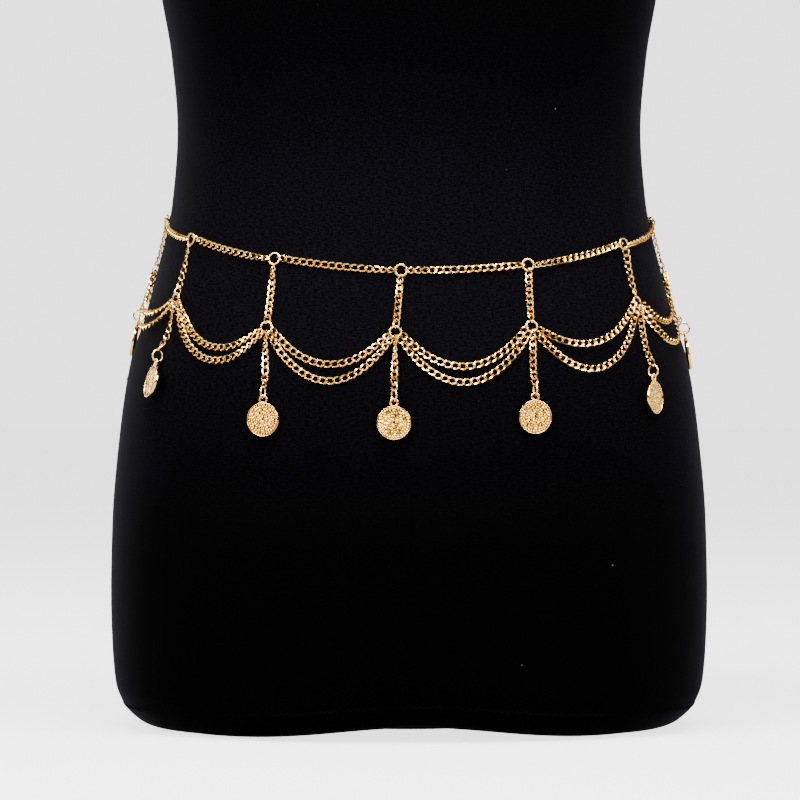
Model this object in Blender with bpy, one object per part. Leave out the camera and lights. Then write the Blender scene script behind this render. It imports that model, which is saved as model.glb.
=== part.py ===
"""Coin tassel waist chain on a limbless dress form.

Sizes are in millimetres here and become metres where a mesh is made. +Z is up, the front faces -Y,
and the origin is the middle of the form's underside.
"""

from __future__ import annotations

import math
from dataclasses import dataclass

import bmesh
import bpy
import numpy as np
from mathutils import Matrix, Vector

MM = 0.001
GAP = 0.3

# The form's sections. The front depth is towards -Y, and squareness is a superellipse's exponent.
# columns: height, half_width, front_depth, back_depth, squareness
FORM_LEVELS = np.array(
    [
        (0.0, 157.0, 110.0, 108.0, 2.25),
        (30.0, 159.0, 116.0, 113.0, 2.25),
        (72.0, 160.4, 121.0, 117.0, 2.25),
        (110.0, 159.6, 122.0, 118.0, 2.25),
        (153.0, 156.1, 120.0, 114.0, 2.25),
        (197.0, 149.5, 116.0, 106.0, 2.25),
        (218.0, 142.5, 112.6, 101.0, 2.25),
        (240.0, 136.6, 109.0, 95.0, 2.25),
        (283.0, 127.2, 104.0, 88.0, 2.25),
        (320.0, 124.7, 101.0, 86.0, 2.2),
        (360.0, 127.9, 104.0, 90.0, 2.2),
        (392.0, 133.4, 109.5, 94.5, 2.2),
        (425.0, 138.5, 118.5, 99.0, 2.2),
        (455.0, 142.0, 128.0, 102.0, 2.2),
        (482.0, 144.0, 132.5, 104.0, 2.2),
        (508.0, 145.5, 130.0, 105.0, 2.2),
        (540.0, 149.5, 118.5, 104.5, 2.2),
        (575.0, 159.5, 102.5, 100.0, 2.2),
        (603.0, 168.0, 90.0, 93.0, 2.2),
        (620.0, 168.5, 82.0, 87.0, 2.2),
        (636.0, 158.0, 75.0, 81.0, 2.15),
        (650.0, 131.0, 68.5, 74.0, 2.1),
        (662.0, 99.0, 63.0, 67.5, 2.1),
        (675.0, 73.0, 58.0, 61.0, 2.0),
        (690.0, 59.0, 54.5, 55.5, 2.0),
        (708.0, 55.0, 52.5, 52.5, 2.0),
        (730.0, 54.0, 52.0, 52.0, 2.0),
    ]
)
# The rounded lower edge, drawn in from the section. It is tighter across the front and back.
# columns: height, front_inset, side_inset
BASE_EDGE = np.array(
    [
        (0.0, 10.0, 30.0),
        (1.6, 4.0, 18.0),
        (6.0, 1.6, 10.0),
        (13.0, 0.5, 4.0),
        (24.0, 0.0, 0.8),
        (45.0, 0.0, 0.0),
    ]
)
EDGE_TURN = 4.0
# The neck cap's rounded edge.
# columns: inset from the section, height below the top
NECK_EDGE = np.array([(0.8, 6.0), (3.5, 2.0), (9.0, 0.0)])
# The underside's rings round its flat middle, as shares of its outline.
UNDER_SHARES = (0.3, 0.55, 0.8)
ROW_HEIGHTS = (68.0, 90.0, 110.0, 128.0, 146.0, 163.0, 180.0, 197.0, 213.0, 229.0, 245.0, 262.0,
               280.0, 300.0, 322.0, 346.0, 372.0, 400.0, 430.0, 456.0, 482.0, 512.0, 545.0, 577.0, 602.0,
               618.0, 631.0, 642.0, 652.0, 662.0, 674.0, 688.0, 706.0)
FORM_COLUMNS = 52
# The front of the lower edge is arched, and so is the underside behind it, from this depth to this one.
ARCH_RISE = 8.0
ARCH_WIDTH = 62.0
ARCH_SHIFT = 5.0
ARCH_DEPTHS = (30.0, 110.0)
ARCH_POWER = 0.8
ARCH_FADE = 60.0
FORM_TOP = 730.0
# The form's middle lies this far in front of its widest line, and is the origin.
MIDDLE = (132.5 - 118.0) / 2
GIRTH_HEIGHT = 215.0


def smooth(x: np.ndarray, xs: np.ndarray, ys: np.ndarray) -> np.ndarray:
    """Interpolates a table with a monotone cubic.

    Args:
        x: Places to read.
        xs: The table's rising places.
        ys: The table's values.

    Returns:
        The values at x.
    """
    step = np.diff(xs)
    slope = np.diff(ys) / step
    tangent = np.zeros_like(ys)
    before, after = slope[:-1], slope[1:]
    rising = before * after > 0
    weight_a = 2 * step[1:] + step[:-1]
    weight_b = step[1:] + 2 * step[:-1]
    safe_before = np.where(rising, before, 1.0)
    safe_after = np.where(rising, after, 1.0)
    mean = (weight_a + weight_b) / (weight_a / safe_before + weight_b / safe_after)
    tangent[1:-1] = np.where(rising, mean, 0.0)
    x = np.clip(x, xs[0], xs[-1])
    i = np.clip(np.searchsorted(xs, x, side="right") - 1, 0, len(xs) - 2)
    t = (x - xs[i]) / step[i]
    return (
        (1 + 2 * t) * (1 - t) ** 2 * ys[i]
        + t * (1 - t) ** 2 * step[i] * tangent[i]
        + t * t * (3 - 2 * t) * ys[i + 1]
        + t * t * (t - 1) * step[i] * tangent[i + 1]
    )


class Torso:
    """The dress form's surface, read by angle or by girth, and by height.

    The girth is the distance round the form from the middle of its front, to the right as seen from
    the front, at GIRTH_HEIGHT.
    """

    def __init__(self) -> None:
        self.angles = np.linspace(-2 * math.pi, 2 * math.pi, 2881)
        ring = self.section(self.angles, np.full_like(self.angles, GIRTH_HEIGHT))
        steps = np.linalg.norm(np.diff(ring, axis=0), axis=1)
        run = np.concatenate([[0.0], np.cumsum(steps)])
        self.girths = run - run[len(run) // 2]

    def section(self, angle: np.ndarray, height: np.ndarray, inset: np.ndarray | float = 0.0) -> np.ndarray:
        """Points on the section outline at each angle and height."""
        columns = [smooth(height, FORM_LEVELS[:, 0], FORM_LEVELS[:, c]) for c in (1, 2, 3, 4)]
        width, front, back, power = columns
        depth = np.where(np.cos(angle) > 0, front, back)
        across = (np.abs(np.sin(angle)) / (width - inset)) ** power
        along = (np.abs(np.cos(angle)) / (depth - inset)) ** power
        radius = (across + along) ** (-1 / power)
        return np.stack([radius * np.sin(angle), -radius * np.cos(angle), height], axis=-1)

    def point(self, girth: np.ndarray, height: np.ndarray, lift: np.ndarray) -> np.ndarray:
        """Points at a lift off the surface."""
        flat, normal, _, _ = self.frame(girth, height)
        return flat + normal * np.asarray(lift, float)[..., None]

    def frame(self, girth: np.ndarray, height: np.ndarray) -> tuple[np.ndarray, ...]:
        """Surface points with the outward normal, the rightward and the upward direction."""
        girth, height = np.broadcast_arrays(np.asarray(girth, float), np.asarray(height, float))
        angle = np.interp(girth, self.girths, self.angles)
        here = self.section(angle, height)
        right = self.section(angle + 0.004, height) - self.section(angle - 0.004, height)
        up = self.section(angle, height + 0.5) - self.section(angle, height - 0.5)
        normal = np.cross(right, up)
        normal /= np.linalg.norm(normal, axis=-1, keepdims=True)
        right /= np.linalg.norm(right, axis=-1, keepdims=True)
        return here, normal, right, np.cross(normal, right)

# Curb chain: its strips have the chain's real width and thickness.
CHAIN_WIDTH = 3.8
CHAIN_THICKNESS = 2.0
END_WIDTH = 1.1
CHAIN_LIFT = GAP + 0.25 + CHAIN_THICKNESS / 2
CHAIN_STEP = 5.2
HANGER_TAPER = 3.5
PENDANT_TAPER = 8.0

RING_RADIUS = 2.95
RING_WIRE = 0.55
COIN_RING_RADIUS = 3.1
COIN_RING_WIRE = 0.5
COIN_RING_LIFT = COIN_RING_RADIUS + COIN_RING_WIRE + GAP

COIN_RADIUS = 8.6
COIN_HALF = 0.55
COIN_RIM_HALF = 0.7
COIN_RIM = 0.9
EYE_RADIUS = 1.85
EYE_WIRE = 0.55

SWAG_REACH = RING_RADIUS + RING_WIRE + GAP + 0.1
UPPER_LEAVES = math.radians(-22)
LOWER_LEAVES = math.radians(-59)

# Each station round the waist, from the left side over the front and the right side to the back.
# columns: name, top_girth, top_height, lower_girth, lower_height, coin_girth, coin_height, ring_turn, coin_turn, lean
# The turns about the vertical and the outward lean are in degrees.
STATIONS = (
    ("01", -203.0, 271.5, -203.0, 244.8, -208.0, 219.6, 0.0, 0.0, 0.0),
    ("02", -134.5, 258.7, -137.5, 227.7, -137.2, 197.3, 0.0, -18.0, 15.0),
    ("03", -73.5, 247.2, -73.4, 211.7, -71.1, 178.6, 0.0, 0.0, 0.0),
    ("04", -4.5, 240.8, -7.1, 209.2, -7.5, 177.0, 25.0, 0.0, 0.0),
    ("05", 63.6, 243.9, 62.2, 212.2, 60.7, 179.9, 0.0, 0.0, 0.0),
    ("06", 129.8, 256.0, 131.5, 225.6, 129.0, 189.6, 0.0, 15.0, 4.0),
    ("07", 200.0, 270.2, 202.0, 243.5, 203.0, 212.2, 0.0, 0.0, 0.0),
    ("08", 271.0, 282.0, 271.6, 251.8, 271.4, 220.5, 0.0, 0.0, 0.0),
    ("09", 345.0, 291.0, 344.2, 260.5, 344.6, 229.0, 0.0, 0.0, 0.0),
    ("10", 420.0, 293.5, 420.8, 263.0, 420.2, 231.4, 0.0, 0.0, 0.0),
    ("11", 494.0, 287.5, 493.4, 257.0, 493.8, 225.6, 0.0, 0.0, 0.0),
)
# The lowest height of the two swags between a station and the next one.
# The two hook on side by side, and reach their full width where they part.
# The swell is how far they stand off the form in their middle.
# columns: upper_lowest, lower_lowest, parting_length, swell
SWAGS = (
    (221.0, 213.1, 14.0, 2.4),
    (202.8, 196.0, 21.0, 0.0),
    (193.1, 184.6, 12.0, 0.0),
    (192.0, 183.9, 12.0, 0.0),
    (204.6, 191.5, 12.0, 0.0),
    (217.7, 206.4, 12.0, 0.0),
    (229.5, 220.0, 13.0, 0.0),
    (238.2, 229.0, 14.0, 0.0),
    (244.0, 235.2, 14.0, 0.0),
    (242.2, 233.0, 14.0, 0.0),
)
WAIST_SAG = 0.8

# The closure runs on from the last station. These are girths and heights along it.
CLASP_TAIL = (563.5, 276.6)
CLASP_LENGTH = 13.5
CLASP_WIDTH = 6.2
CLASP_WIRE = 0.85
LUG_RADIUS = 1.5
LUG_WIRE = 0.5
# columns: girth, height
EXTENSION_ROUTE = np.array(
    [
        (-207.2, 271.6),
        (-214.0, 272.6),
        (-221.0, 273.2),
        (-225.6, 272.6),
        (-228.2, 270.2),
        (-229.0, 266.6),
        (-228.6, 250.0),
        (-227.0, 230.0),
        (-224.6, 206.0),
        (-222.6, 186.5),
    ]
)
END_RING_RADIUS = 1.9
END_RING_WIRE = 0.5


@dataclass(frozen=True)
class Place:
    """A spot on the form, by girth and height, in millimetres."""

    girth: float
    height: float


@dataclass(frozen=True)
class Station:
    """One hanger's three rings, with the turns of the coin's ring and the coin, and its lean, in degrees."""

    name: str
    top: Place
    lower: Place
    coin: Place
    ring_turn: float
    coin_turn: float
    lean: float


class Shape:
    """Closed bodies gathered into one Blender mesh, in millimetres until it is built."""

    def __init__(self) -> None:
        self.work = bmesh.new()

    def sweep(self, rings: np.ndarray) -> None:
        """Bridges rings of points into a tube, and caps its ends.

        Args:
            rings: Points by ring, side and axis.
        """
        loops = [[self.work.verts.new(point) for point in ring] for ring in rings]
        for here, there in zip(loops, loops[1:]):
            for k, corner in enumerate(here):
                m = (k + 1) % len(here)
                self.work.faces.new((corner, here[m], there[m], there[k]))
        self.work.faces.new(loops[0][::-1])
        self.work.faces.new(loops[-1])

    def loop(self, rings: np.ndarray) -> None:
        """Bridges rings of points into a closed loop."""
        loops = [[self.work.verts.new(point) for point in ring] for ring in rings]
        for i, here in enumerate(loops):
            there = loops[(i + 1) % len(loops)]
            for k, corner in enumerate(here):
                m = (k + 1) % len(here)
                self.work.faces.new((corner, here[m], there[m], there[k]))

    def spin(self, profile: list[Vector], centre: Vector, axis: Vector, steps: int) -> None:
        """Turns a closed outline about an axis."""
        corners = [self.work.verts.new(point) for point in profile]
        edges = [self.work.edges.new((corners[i - 1], corners[i])) for i in range(len(corners))]
        bmesh.ops.spin(self.work, geom=corners + edges, cent=centre, axis=axis, angle=2 * math.pi,
                       steps=steps, use_merge=True)

    def ring(self, centre: np.ndarray, axis: np.ndarray, radius: float, wire: float, steps: int) -> None:
        """Adds a ring of wire about an axis, its wire drawn with four sides."""
        middle, spin_axis = Vector(centre), Vector(axis).normalized()
        out = spin_axis.orthogonal().normalized()
        flat = wire * math.sqrt(0.5)
        corners = ((-flat, -flat), (flat, -flat), (flat, flat), (-flat, flat))
        self.spin([middle + out * (radius + x) + spin_axis * y for x, y in corners], middle, spin_axis, steps)

    def build(self, name: str, origin: np.ndarray, material: bpy.types.Material) -> bpy.types.Object:
        """Makes the Blender object, in metres, placed by its origin.

        Args:
            name: The object's name.
            origin: Where the object's own origin lies, in millimetres.
            material: Its material.

        Returns:
            The object.
        """
        bmesh.ops.remove_doubles(self.work, verts=self.work.verts, dist=0.001)
        bmesh.ops.recalc_face_normals(self.work, faces=self.work.faces)
        bmesh.ops.transform(self.work, matrix=Matrix.Scale(MM, 4) @ Matrix.Translation(-Vector(origin)),
                            verts=self.work.verts)
        mesh = bpy.data.meshes.new(name)
        self.work.to_mesh(mesh)
        self.work.free()
        mesh.shade_smooth()
        mesh.set_sharp_from_angle(angle=math.radians(50))
        mesh.materials.append(material)
        body = bpy.data.objects.new(name, mesh)
        body.location = (Vector(origin) + Vector((0.0, MIDDLE, 0.0))) * MM
        bpy.context.scene.collection.objects.link(body)
        return body


def linear(code: str) -> tuple[float, float, float, float]:
    """The linear colour of an sRGB hex value."""
    values = [int(code[i : i + 2], 16) / 255 for i in (1, 3, 5)]
    return (*[v / 12.92 if v <= 0.04045 else ((v + 0.055) / 1.055) ** 2.4 for v in values], 1.0)


def finish(name: str, colour: str, metallic: float, roughness: float) -> bpy.types.Material:
    """Makes a Principled material."""
    material = bpy.data.materials.new(name)
    material.use_nodes = True
    shader = material.node_tree.nodes["Principled BSDF"]
    shader.inputs["Base Color"].default_value = linear(colour)
    shader.inputs["Metallic"].default_value = metallic
    shader.inputs["Roughness"].default_value = roughness
    return material


def fuse(body: bpy.types.Object, other: bpy.types.Object) -> None:
    """Unites a body with another one, which is then only a cutter."""
    union = body.modifiers.new("fuse", "BOOLEAN")
    union.operation = "UNION"
    union.solver = "EXACT"
    union.object = other
    other.hide_render = True
    other.display_type = "WIRE"


def leave(form: Torso, ring: Place, angle: float, reach: float) -> Place:
    """The place at a distance from a ring's middle, at an angle from rightward to upward."""
    side = form.point(ring.girth + 0.5, ring.height, 0.0) - form.point(ring.girth - 0.5, ring.height, 0.0)
    up = form.point(ring.girth, ring.height + 0.5, 0.0) - form.point(ring.girth, ring.height - 0.5, 0.0)
    return Place(
        ring.girth + reach * math.cos(angle) / float(np.linalg.norm(side)),
        ring.height + reach * math.sin(angle) / float(np.linalg.norm(up)),
    )


def resample(route: np.ndarray, form: Torso, step: float) -> np.ndarray:
    """Spaces a route of girths, heights and lifts evenly along its length on the form."""
    points = form.point(route[:, 0], route[:, 1], route[:, 2])
    run = np.concatenate([[0.0], np.cumsum(np.linalg.norm(np.diff(points, axis=0), axis=1))])
    count = max(3, round(run[-1] / step) + 1)
    at = np.linspace(0.0, run[-1], count)
    return np.stack([np.interp(at, run, route[:, c]) for c in range(3)] + [at, run[-1] - at], axis=-1)


def chain(shape: Shape, form: Torso, route: np.ndarray, taper: tuple[float, float],
          step: float = CHAIN_STEP) -> None:
    """Adds a strip of curb chain along a route.

    Args:
        shape: What the strip is added to.
        form: The form under it.
        route: Rows of girth, height and lift.
        taper: How far the first and the last links take to lie flat, seen edge-on where they hook.
        step: Distance between sections.
    """
    fine = resample(route, form, 0.5)
    even = resample(route, form, step)
    ends = [min(taper[0], even[-1, 3] / 2), min(taper[1], even[-1, 3] / 2)]
    extra = np.array([ends[0], even[-1, 3] - ends[1]])
    at = np.sort(np.concatenate([even[:, 3], extra[np.abs(even[:, 3, None] - extra).min(axis=0) > step / 4]]))
    columns = np.stack([np.interp(at, fine[:, 3], fine[:, c]) for c in range(3)], axis=-1)
    points = form.point(columns[:, 0], columns[:, 1], columns[:, 2])
    _, normal, _, _ = form.frame(columns[:, 0], columns[:, 1])
    along = np.gradient(points, axis=0)
    along /= np.linalg.norm(along, axis=1, keepdims=True)
    side = np.cross(along, normal)
    side /= np.linalg.norm(side, axis=1, keepdims=True)
    full = np.minimum(np.clip(at / ends[0], 0, 1), np.clip((at[-1] - at) / ends[1], 0, 1))
    half_width = (END_WIDTH + (CHAIN_WIDTH - END_WIDTH) * full)[:, None, None] / 2
    half_depth = CHAIN_THICKNESS / 2
    corners = np.array([(-1.0, -1.0), (1.0, -1.0), (1.0, 1.0), (-1.0, 1.0)])
    rings = points[:, None] + side[:, None] * corners[None, :, :1] * half_width
    rings = rings + normal[:, None] * corners[None, :, 1:] * half_depth
    shape.sweep(rings)


def straight(start: Place, end: Place, lifts: tuple[float, float] = (CHAIN_LIFT, CHAIN_LIFT),
             sag: float = 0.0, swell: float = 0.0, count: int = 41) -> np.ndarray:
    """A route between two places, hanging by a sag and standing off by a swell in its middle."""
    t = np.linspace(0, 1, count)
    height = start.height + (end.height - start.height) * t - 4 * sag * t * (1 - t)
    lift = lifts[0] + (lifts[1] - lifts[0]) * np.clip((t - 0.7) / 0.3, 0, 1) ** 1.5 + 4 * swell * t * (1 - t)
    return np.stack([start.girth + (end.girth - start.girth) * t, height, lift], axis=-1)


def swag(form: Torso, start: Place, end: Place, leaves: float, lowest: float, swell: float) -> np.ndarray:
    """A route from the lower part of one ring to the next one's, down to a lowest height."""
    first = leave(form, start, leaves, SWAG_REACH)
    last = leave(form, end, math.pi - leaves, SWAG_REACH)
    return straight(first, last, sag=(first.height + last.height) / 2 - lowest, swell=swell)


def arched(points: np.ndarray) -> np.ndarray:
    """Raises points by the arch in the front of the lower edge, which fades upward and under the form."""
    across = np.exp(-(((points[..., 0] - ARCH_SHIFT) / ARCH_WIDTH) ** 2))
    start, full = ARCH_DEPTHS
    under = np.clip((-points[..., 1] - start) / (full - start), 0, 1) ** ARCH_POWER
    rise = ARCH_RISE * across * under * np.clip(1 - points[..., 2] / ARCH_FADE, 0, 1)
    return points + rise[..., None] * np.array([0.0, 0.0, 1.0])


def build_form(form: Torso, cover: bpy.types.Material) -> None:
    """Builds the dress form, flat under its base and closed at the neck."""
    angles = np.linspace(0, 2 * math.pi, FORM_COLUMNS, endpoint=False)
    sideways = np.abs(np.sin(angles)) ** EDGE_TURN
    rows = [(height, front + (side - front) * sideways) for height, front, side in BASE_EDGE]
    rows += [(height, 0.0) for height in ROW_HEIGHTS]
    rows += [(FORM_TOP - below, inset) for inset, below in NECK_EDGE]
    rings = [form.section(angles, np.full(FORM_COLUMNS, h), inset) for h, inset in rows]
    under = [rings[0] * share for share in UNDER_SHARES]
    shape = Shape()
    shape.sweep(arched(np.stack(under + rings)))
    shape.build("form", np.array([0.0, -MIDDLE, 0.0]), cover)


def build_hanger(form: Torso, station: Station, gold: bpy.types.Material) -> None:
    """Builds one hanger: two rings, two lengths of chain and the coin's small ring, fused."""
    hooked = RING_RADIUS - RING_WIRE - 0.5
    rings = Shape()
    for place in (station.top, station.lower):
        _, normal, _, _ = form.frame(place.girth, place.height)
        rings.ring(form.point(place.girth, place.height, CHAIN_LIFT), normal, RING_RADIUS, RING_WIRE, 12)
    middle, _, _, _ = coin_frame(form, station)
    rings.ring(middle, ring_axis(form, station), COIN_RING_RADIUS, COIN_RING_WIRE, 12)
    chains = Shape()
    down = math.atan2(station.lower.height - station.top.height, station.lower.girth - station.top.girth)
    drop = straight(leave(form, station.top, down, hooked), leave(form, station.lower, down + math.pi, hooked))
    chain(chains, form, drop, (HANGER_TAPER, HANGER_TAPER), 8.0)
    down = math.atan2(station.coin.height - station.lower.height, station.coin.girth - station.lower.girth)
    hook = Place(station.coin.girth, station.coin.height + COIN_RING_RADIUS - 0.3)
    pendant = straight(leave(form, station.lower, down, hooked), hook, (CHAIN_LIFT, COIN_RING_LIFT))
    chain(chains, form, pendant, (PENDANT_TAPER, HANGER_TAPER), 7.0)
    origin = form.point(station.top.girth, station.top.height, CHAIN_LIFT)
    body = rings.build(f"hanger_{station.name}", origin, gold)
    fuse(body, chains.build(f"hanger_chains_{station.name}", origin, gold))


def ring_axis(form: Torso, station: Station) -> np.ndarray:
    """The axis of a coin's small ring, which is also the coin's hinge."""
    _, _, right, _ = form.frame(station.coin.girth, station.coin.height)
    return turned(right, station.ring_turn)


def coin_frame(form: Torso, station: Station) -> tuple[np.ndarray, ...]:
    """The middle of a coin's small ring, with the coin's level outward, its rightward and the up direction."""
    place = station.coin
    middle = form.point(place.girth, place.height, COIN_RING_LIFT)
    _, _, right, _ = form.frame(place.girth, place.height)
    right = turned(right, station.coin_turn)
    up = np.array([0.0, 0.0, 1.0])
    out = np.cross(right, up)
    return middle, out / np.linalg.norm(out), right, up


def turned(axis: np.ndarray, degrees: float) -> np.ndarray:
    """A level axis turned about the vertical."""
    cosine, sine = math.cos(math.radians(degrees)), math.sin(math.radians(degrees))
    return np.array([axis[0] * cosine - axis[1] * sine, axis[0] * sine + axis[1] * cosine, axis[2]])


def clearance(form: Torso, points: np.ndarray) -> float:
    """The least distance of points from the form, taken level and turned to its slope."""
    angle = np.arctan2(points[:, 0], -points[:, 1])
    surface = form.section(angle, points[:, 2])
    level = np.linalg.norm(points[:, :2], axis=1) - np.linalg.norm(surface[:, :2], axis=1)
    return float(level.min())


def coin_parts() -> tuple[float, float]:
    """How far a coin's eye and its disc hang under the middle of its small ring."""
    eye = COIN_RING_RADIUS - COIN_RING_WIRE - GAP - EYE_WIRE + EYE_RADIUS
    return eye, eye + COIN_RADIUS + EYE_RADIUS - 0.2


def rest_lean(form: Torso, station: Station) -> float:
    """How far a coin can lean until its back comes to the gap from the form.

    It is negative where the form holds the coin out of plumb.
    """
    middle, out, right, up = coin_frame(form, station)
    turn = np.linspace(0, 2 * math.pi, 24, endpoint=False)[:, None]
    eye_drop, disc_drop = coin_parts()
    low, high = -0.3, 0.6
    for _ in range(30):
        lean = (low + high) / 2
        down = -up * math.cos(lean) - out * math.sin(lean)
        face = np.cross(right, down)
        back = COIN_RADIUS * (np.cos(turn) * right + np.sin(turn) * down) + face * COIN_RIM_HALF
        top = (EYE_RADIUS + EYE_WIRE) * (np.cos(turn) * right + np.sin(turn) * down) + face * EYE_WIRE
        tested = np.concatenate([middle + disc_drop * down + back, middle + eye_drop * down + top])
        if clearance(form, tested) > GAP:
            low = lean
        else:
            high = lean
    return low


def coin_mesh(gold: bpy.types.Material) -> bpy.types.Mesh:
    """Makes a coin's mesh about the middle of its small ring, its face towards -Y: a disc with a
    raised rim on both sides, and its eye."""
    eye_drop, disc_drop = coin_parts()
    step = COIN_RADIUS - COIN_RIM
    # columns: radius, height off the coin's middle plane
    profile = ((step - 0.3, COIN_HALF), (step, COIN_RIM_HALF), (COIN_RADIUS, COIN_RIM_HALF),
               (COIN_RADIUS, -COIN_RIM_HALF), (step, -COIN_RIM_HALF), (step - 0.3, -COIN_HALF))
    turn = np.linspace(0, 2 * math.pi, 20, endpoint=False)
    rings = [np.stack([r * np.cos(turn), np.full(20, h), r * np.sin(turn) - disc_drop], axis=-1) for r, h in profile]
    disc = Shape()
    disc.sweep(np.stack(rings))
    loop = Shape()
    loop.ring(np.array([0.0, 0.0, -eye_drop]), np.array([0.0, 1.0, 0.0]), EYE_RADIUS, EYE_WIRE, 10)
    body = disc.build("coin", np.zeros(3), gold)
    eye = loop.build("coin_eye", np.zeros(3), gold)
    fuse(body, eye)
    mesh = bpy.data.meshes.new_from_object(body.evaluated_get(bpy.context.evaluated_depsgraph_get()))
    bpy.data.objects.remove(body, do_unlink=True)
    bpy.data.objects.remove(eye, do_unlink=True)
    return mesh


def place_coin(form: Torso, station: Station, mesh: bpy.types.Mesh) -> bpy.types.Object:
    """Places one coin with its origin on its hinge. It hangs as leant, or out where the form holds it."""
    middle, out, _, _ = coin_frame(form, station)
    lean = min(rest_lean(form, station), -math.radians(station.lean))
    coin = bpy.data.objects.new(f"coin_{station.name}", mesh)
    coin.location = (Vector(middle) + Vector((0.0, MIDDLE, 0.0))) * MM
    facing = math.atan2(out[0], -out[1])
    coin.matrix_world = (Matrix.Translation(coin.location) @ Matrix.Rotation(facing, 4, "Z")
                         @ Matrix.Rotation(lean, 4, "X"))
    bpy.context.scene.collection.objects.link(coin)
    return coin


def build_closure(form: Torso, last: Station, gold: bpy.types.Material) -> None:
    """Builds the end of the waist line, the clasp, and the extension chain with its tail."""
    tail = Place(*CLASP_TAIL)
    end = Shape()
    start = leave(form, last.top, 0.0, SWAG_REACH)
    reach = LUG_RADIUS + LUG_WIRE + GAP
    chain(end, form, straight(start, leave(form, tail, math.pi, reach), sag=1.2),
          (HANGER_TAPER, HANGER_TAPER), 6.5)
    end.build("waist_11", form.point(last.top.girth, last.top.height, CHAIN_LIFT), gold)
    centre, normal, right, up = form.frame(tail.girth, tail.height)
    centre = centre + normal * (CLASP_WIRE + GAP + 0.4)
    lug = Shape()
    lug.ring(centre, normal, LUG_RADIUS, LUG_WIRE, 10)
    along = right * math.cos(0.06) - up * math.sin(0.06)
    over = np.cross(normal, along)
    turn = np.linspace(0, 2 * math.pi, 20, endpoint=False)[:, None]
    half = CLASP_LENGTH / 2 - CLASP_WIRE
    middle = centre + along * (half + CLASP_WIRE + LUG_RADIUS - 0.2)
    wide = (CLASP_WIDTH / 2 - CLASP_WIRE) * (1 + 0.18 * np.cos(turn))
    bend = middle + along * half * np.cos(turn) + over * wide * np.sin(turn)
    out = along * np.cos(turn) * 0.6 + over * np.sin(turn)
    out /= np.linalg.norm(out, axis=1, keepdims=True)
    around = (np.arange(5) * 2 * math.pi / 5)[None, :, None]
    rings = bend[:, None] + CLASP_WIRE * (np.cos(around) * out[:, None] + np.sin(around) * normal)
    loop = Shape()
    loop.loop(rings)
    fuse(loop.build("clasp", centre, gold), lug.build("clasp_lug", centre, gold))
    strip = Shape()
    route = np.column_stack([EXTENSION_ROUTE, np.full(len(EXTENSION_ROUTE), CHAIN_LIFT)])
    chain(strip, form, route, (HANGER_TAPER, HANGER_TAPER), 5.0)
    ring = Shape()
    bottom = Place(EXTENSION_ROUTE[-1, 0], EXTENSION_ROUTE[-1, 1] - END_RING_RADIUS + 0.3)
    _, normal, _, _ = form.frame(bottom.girth, bottom.height)
    ring.ring(form.point(bottom.girth, bottom.height, CHAIN_LIFT), normal, END_RING_RADIUS, END_RING_WIRE, 12)
    origin = form.point(EXTENSION_ROUTE[0, 0], EXTENSION_ROUTE[0, 1], CHAIN_LIFT)
    fuse(strip.build("extension", origin, gold), ring.build("extension_end_ring", origin, gold))


def main() -> None:
    """Builds every node."""
    for old in list(bpy.data.objects):
        bpy.data.objects.remove(old, do_unlink=True)
    form = Torso()
    cover = finish("knit_cover", "#101012", 0.0, 0.85)
    gold = finish("gold_plate", "#DDB160", 1.0, 0.25)
    stations = [Station(s[0], Place(*s[1:3]), Place(*s[3:5]), Place(*s[5:7]), *s[7:]) for s in STATIONS]
    build_form(form, cover)
    coin = coin_mesh(gold)
    for station in stations:
        build_hanger(form, station, gold)
        place_coin(form, station, coin)
    for here, there, (upper, lower, parting, swell) in zip(stations, stations[1:], SWAGS):
        start = leave(form, here.top, 0.0, SWAG_REACH)
        end = leave(form, there.top, math.pi, SWAG_REACH)
        segment = Shape()
        chain(segment, form, straight(start, end, sag=WAIST_SAG), (HANGER_TAPER, HANGER_TAPER), 6.5)
        segment.build(f"waist_{here.name}", form.point(here.top.girth, here.top.height, CHAIN_LIFT), gold)
        origin = form.point(here.lower.girth, here.lower.height, CHAIN_LIFT)
        for kind, leaves, lowest in (("upper", UPPER_LEAVES, upper), ("lower", LOWER_LEAVES, lower)):
            strand = Shape()
            chain(strand, form, swag(form, here.lower, there.lower, leaves, lowest, swell), (parting, parting))
            strand.build(f"swag_{kind}_{here.name}", origin, gold)
    build_closure(form, stations[-1], gold)
    waist_chain = bpy.data.objects.new("waist_chain", None)
    bpy.context.scene.collection.objects.link(waist_chain)
    for body in bpy.context.scene.objects:
        if body.type == "MESH" and body.name != "form":
            body.parent = waist_chain


if __name__ == "__main__":
    main()
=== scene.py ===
"""Looks of the coin tassel waist chain on its dress form.

The chain and the cover are surfaces worked out in millimetres on the form's own surface, where a spot is a
girth, the distance round the form from the middle of its front, and a height. They become metres where a
mesh is made. +Z is up and the front faces -Y.
"""

import logging
import math
from dataclasses import dataclass, field
from enum import Enum

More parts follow.
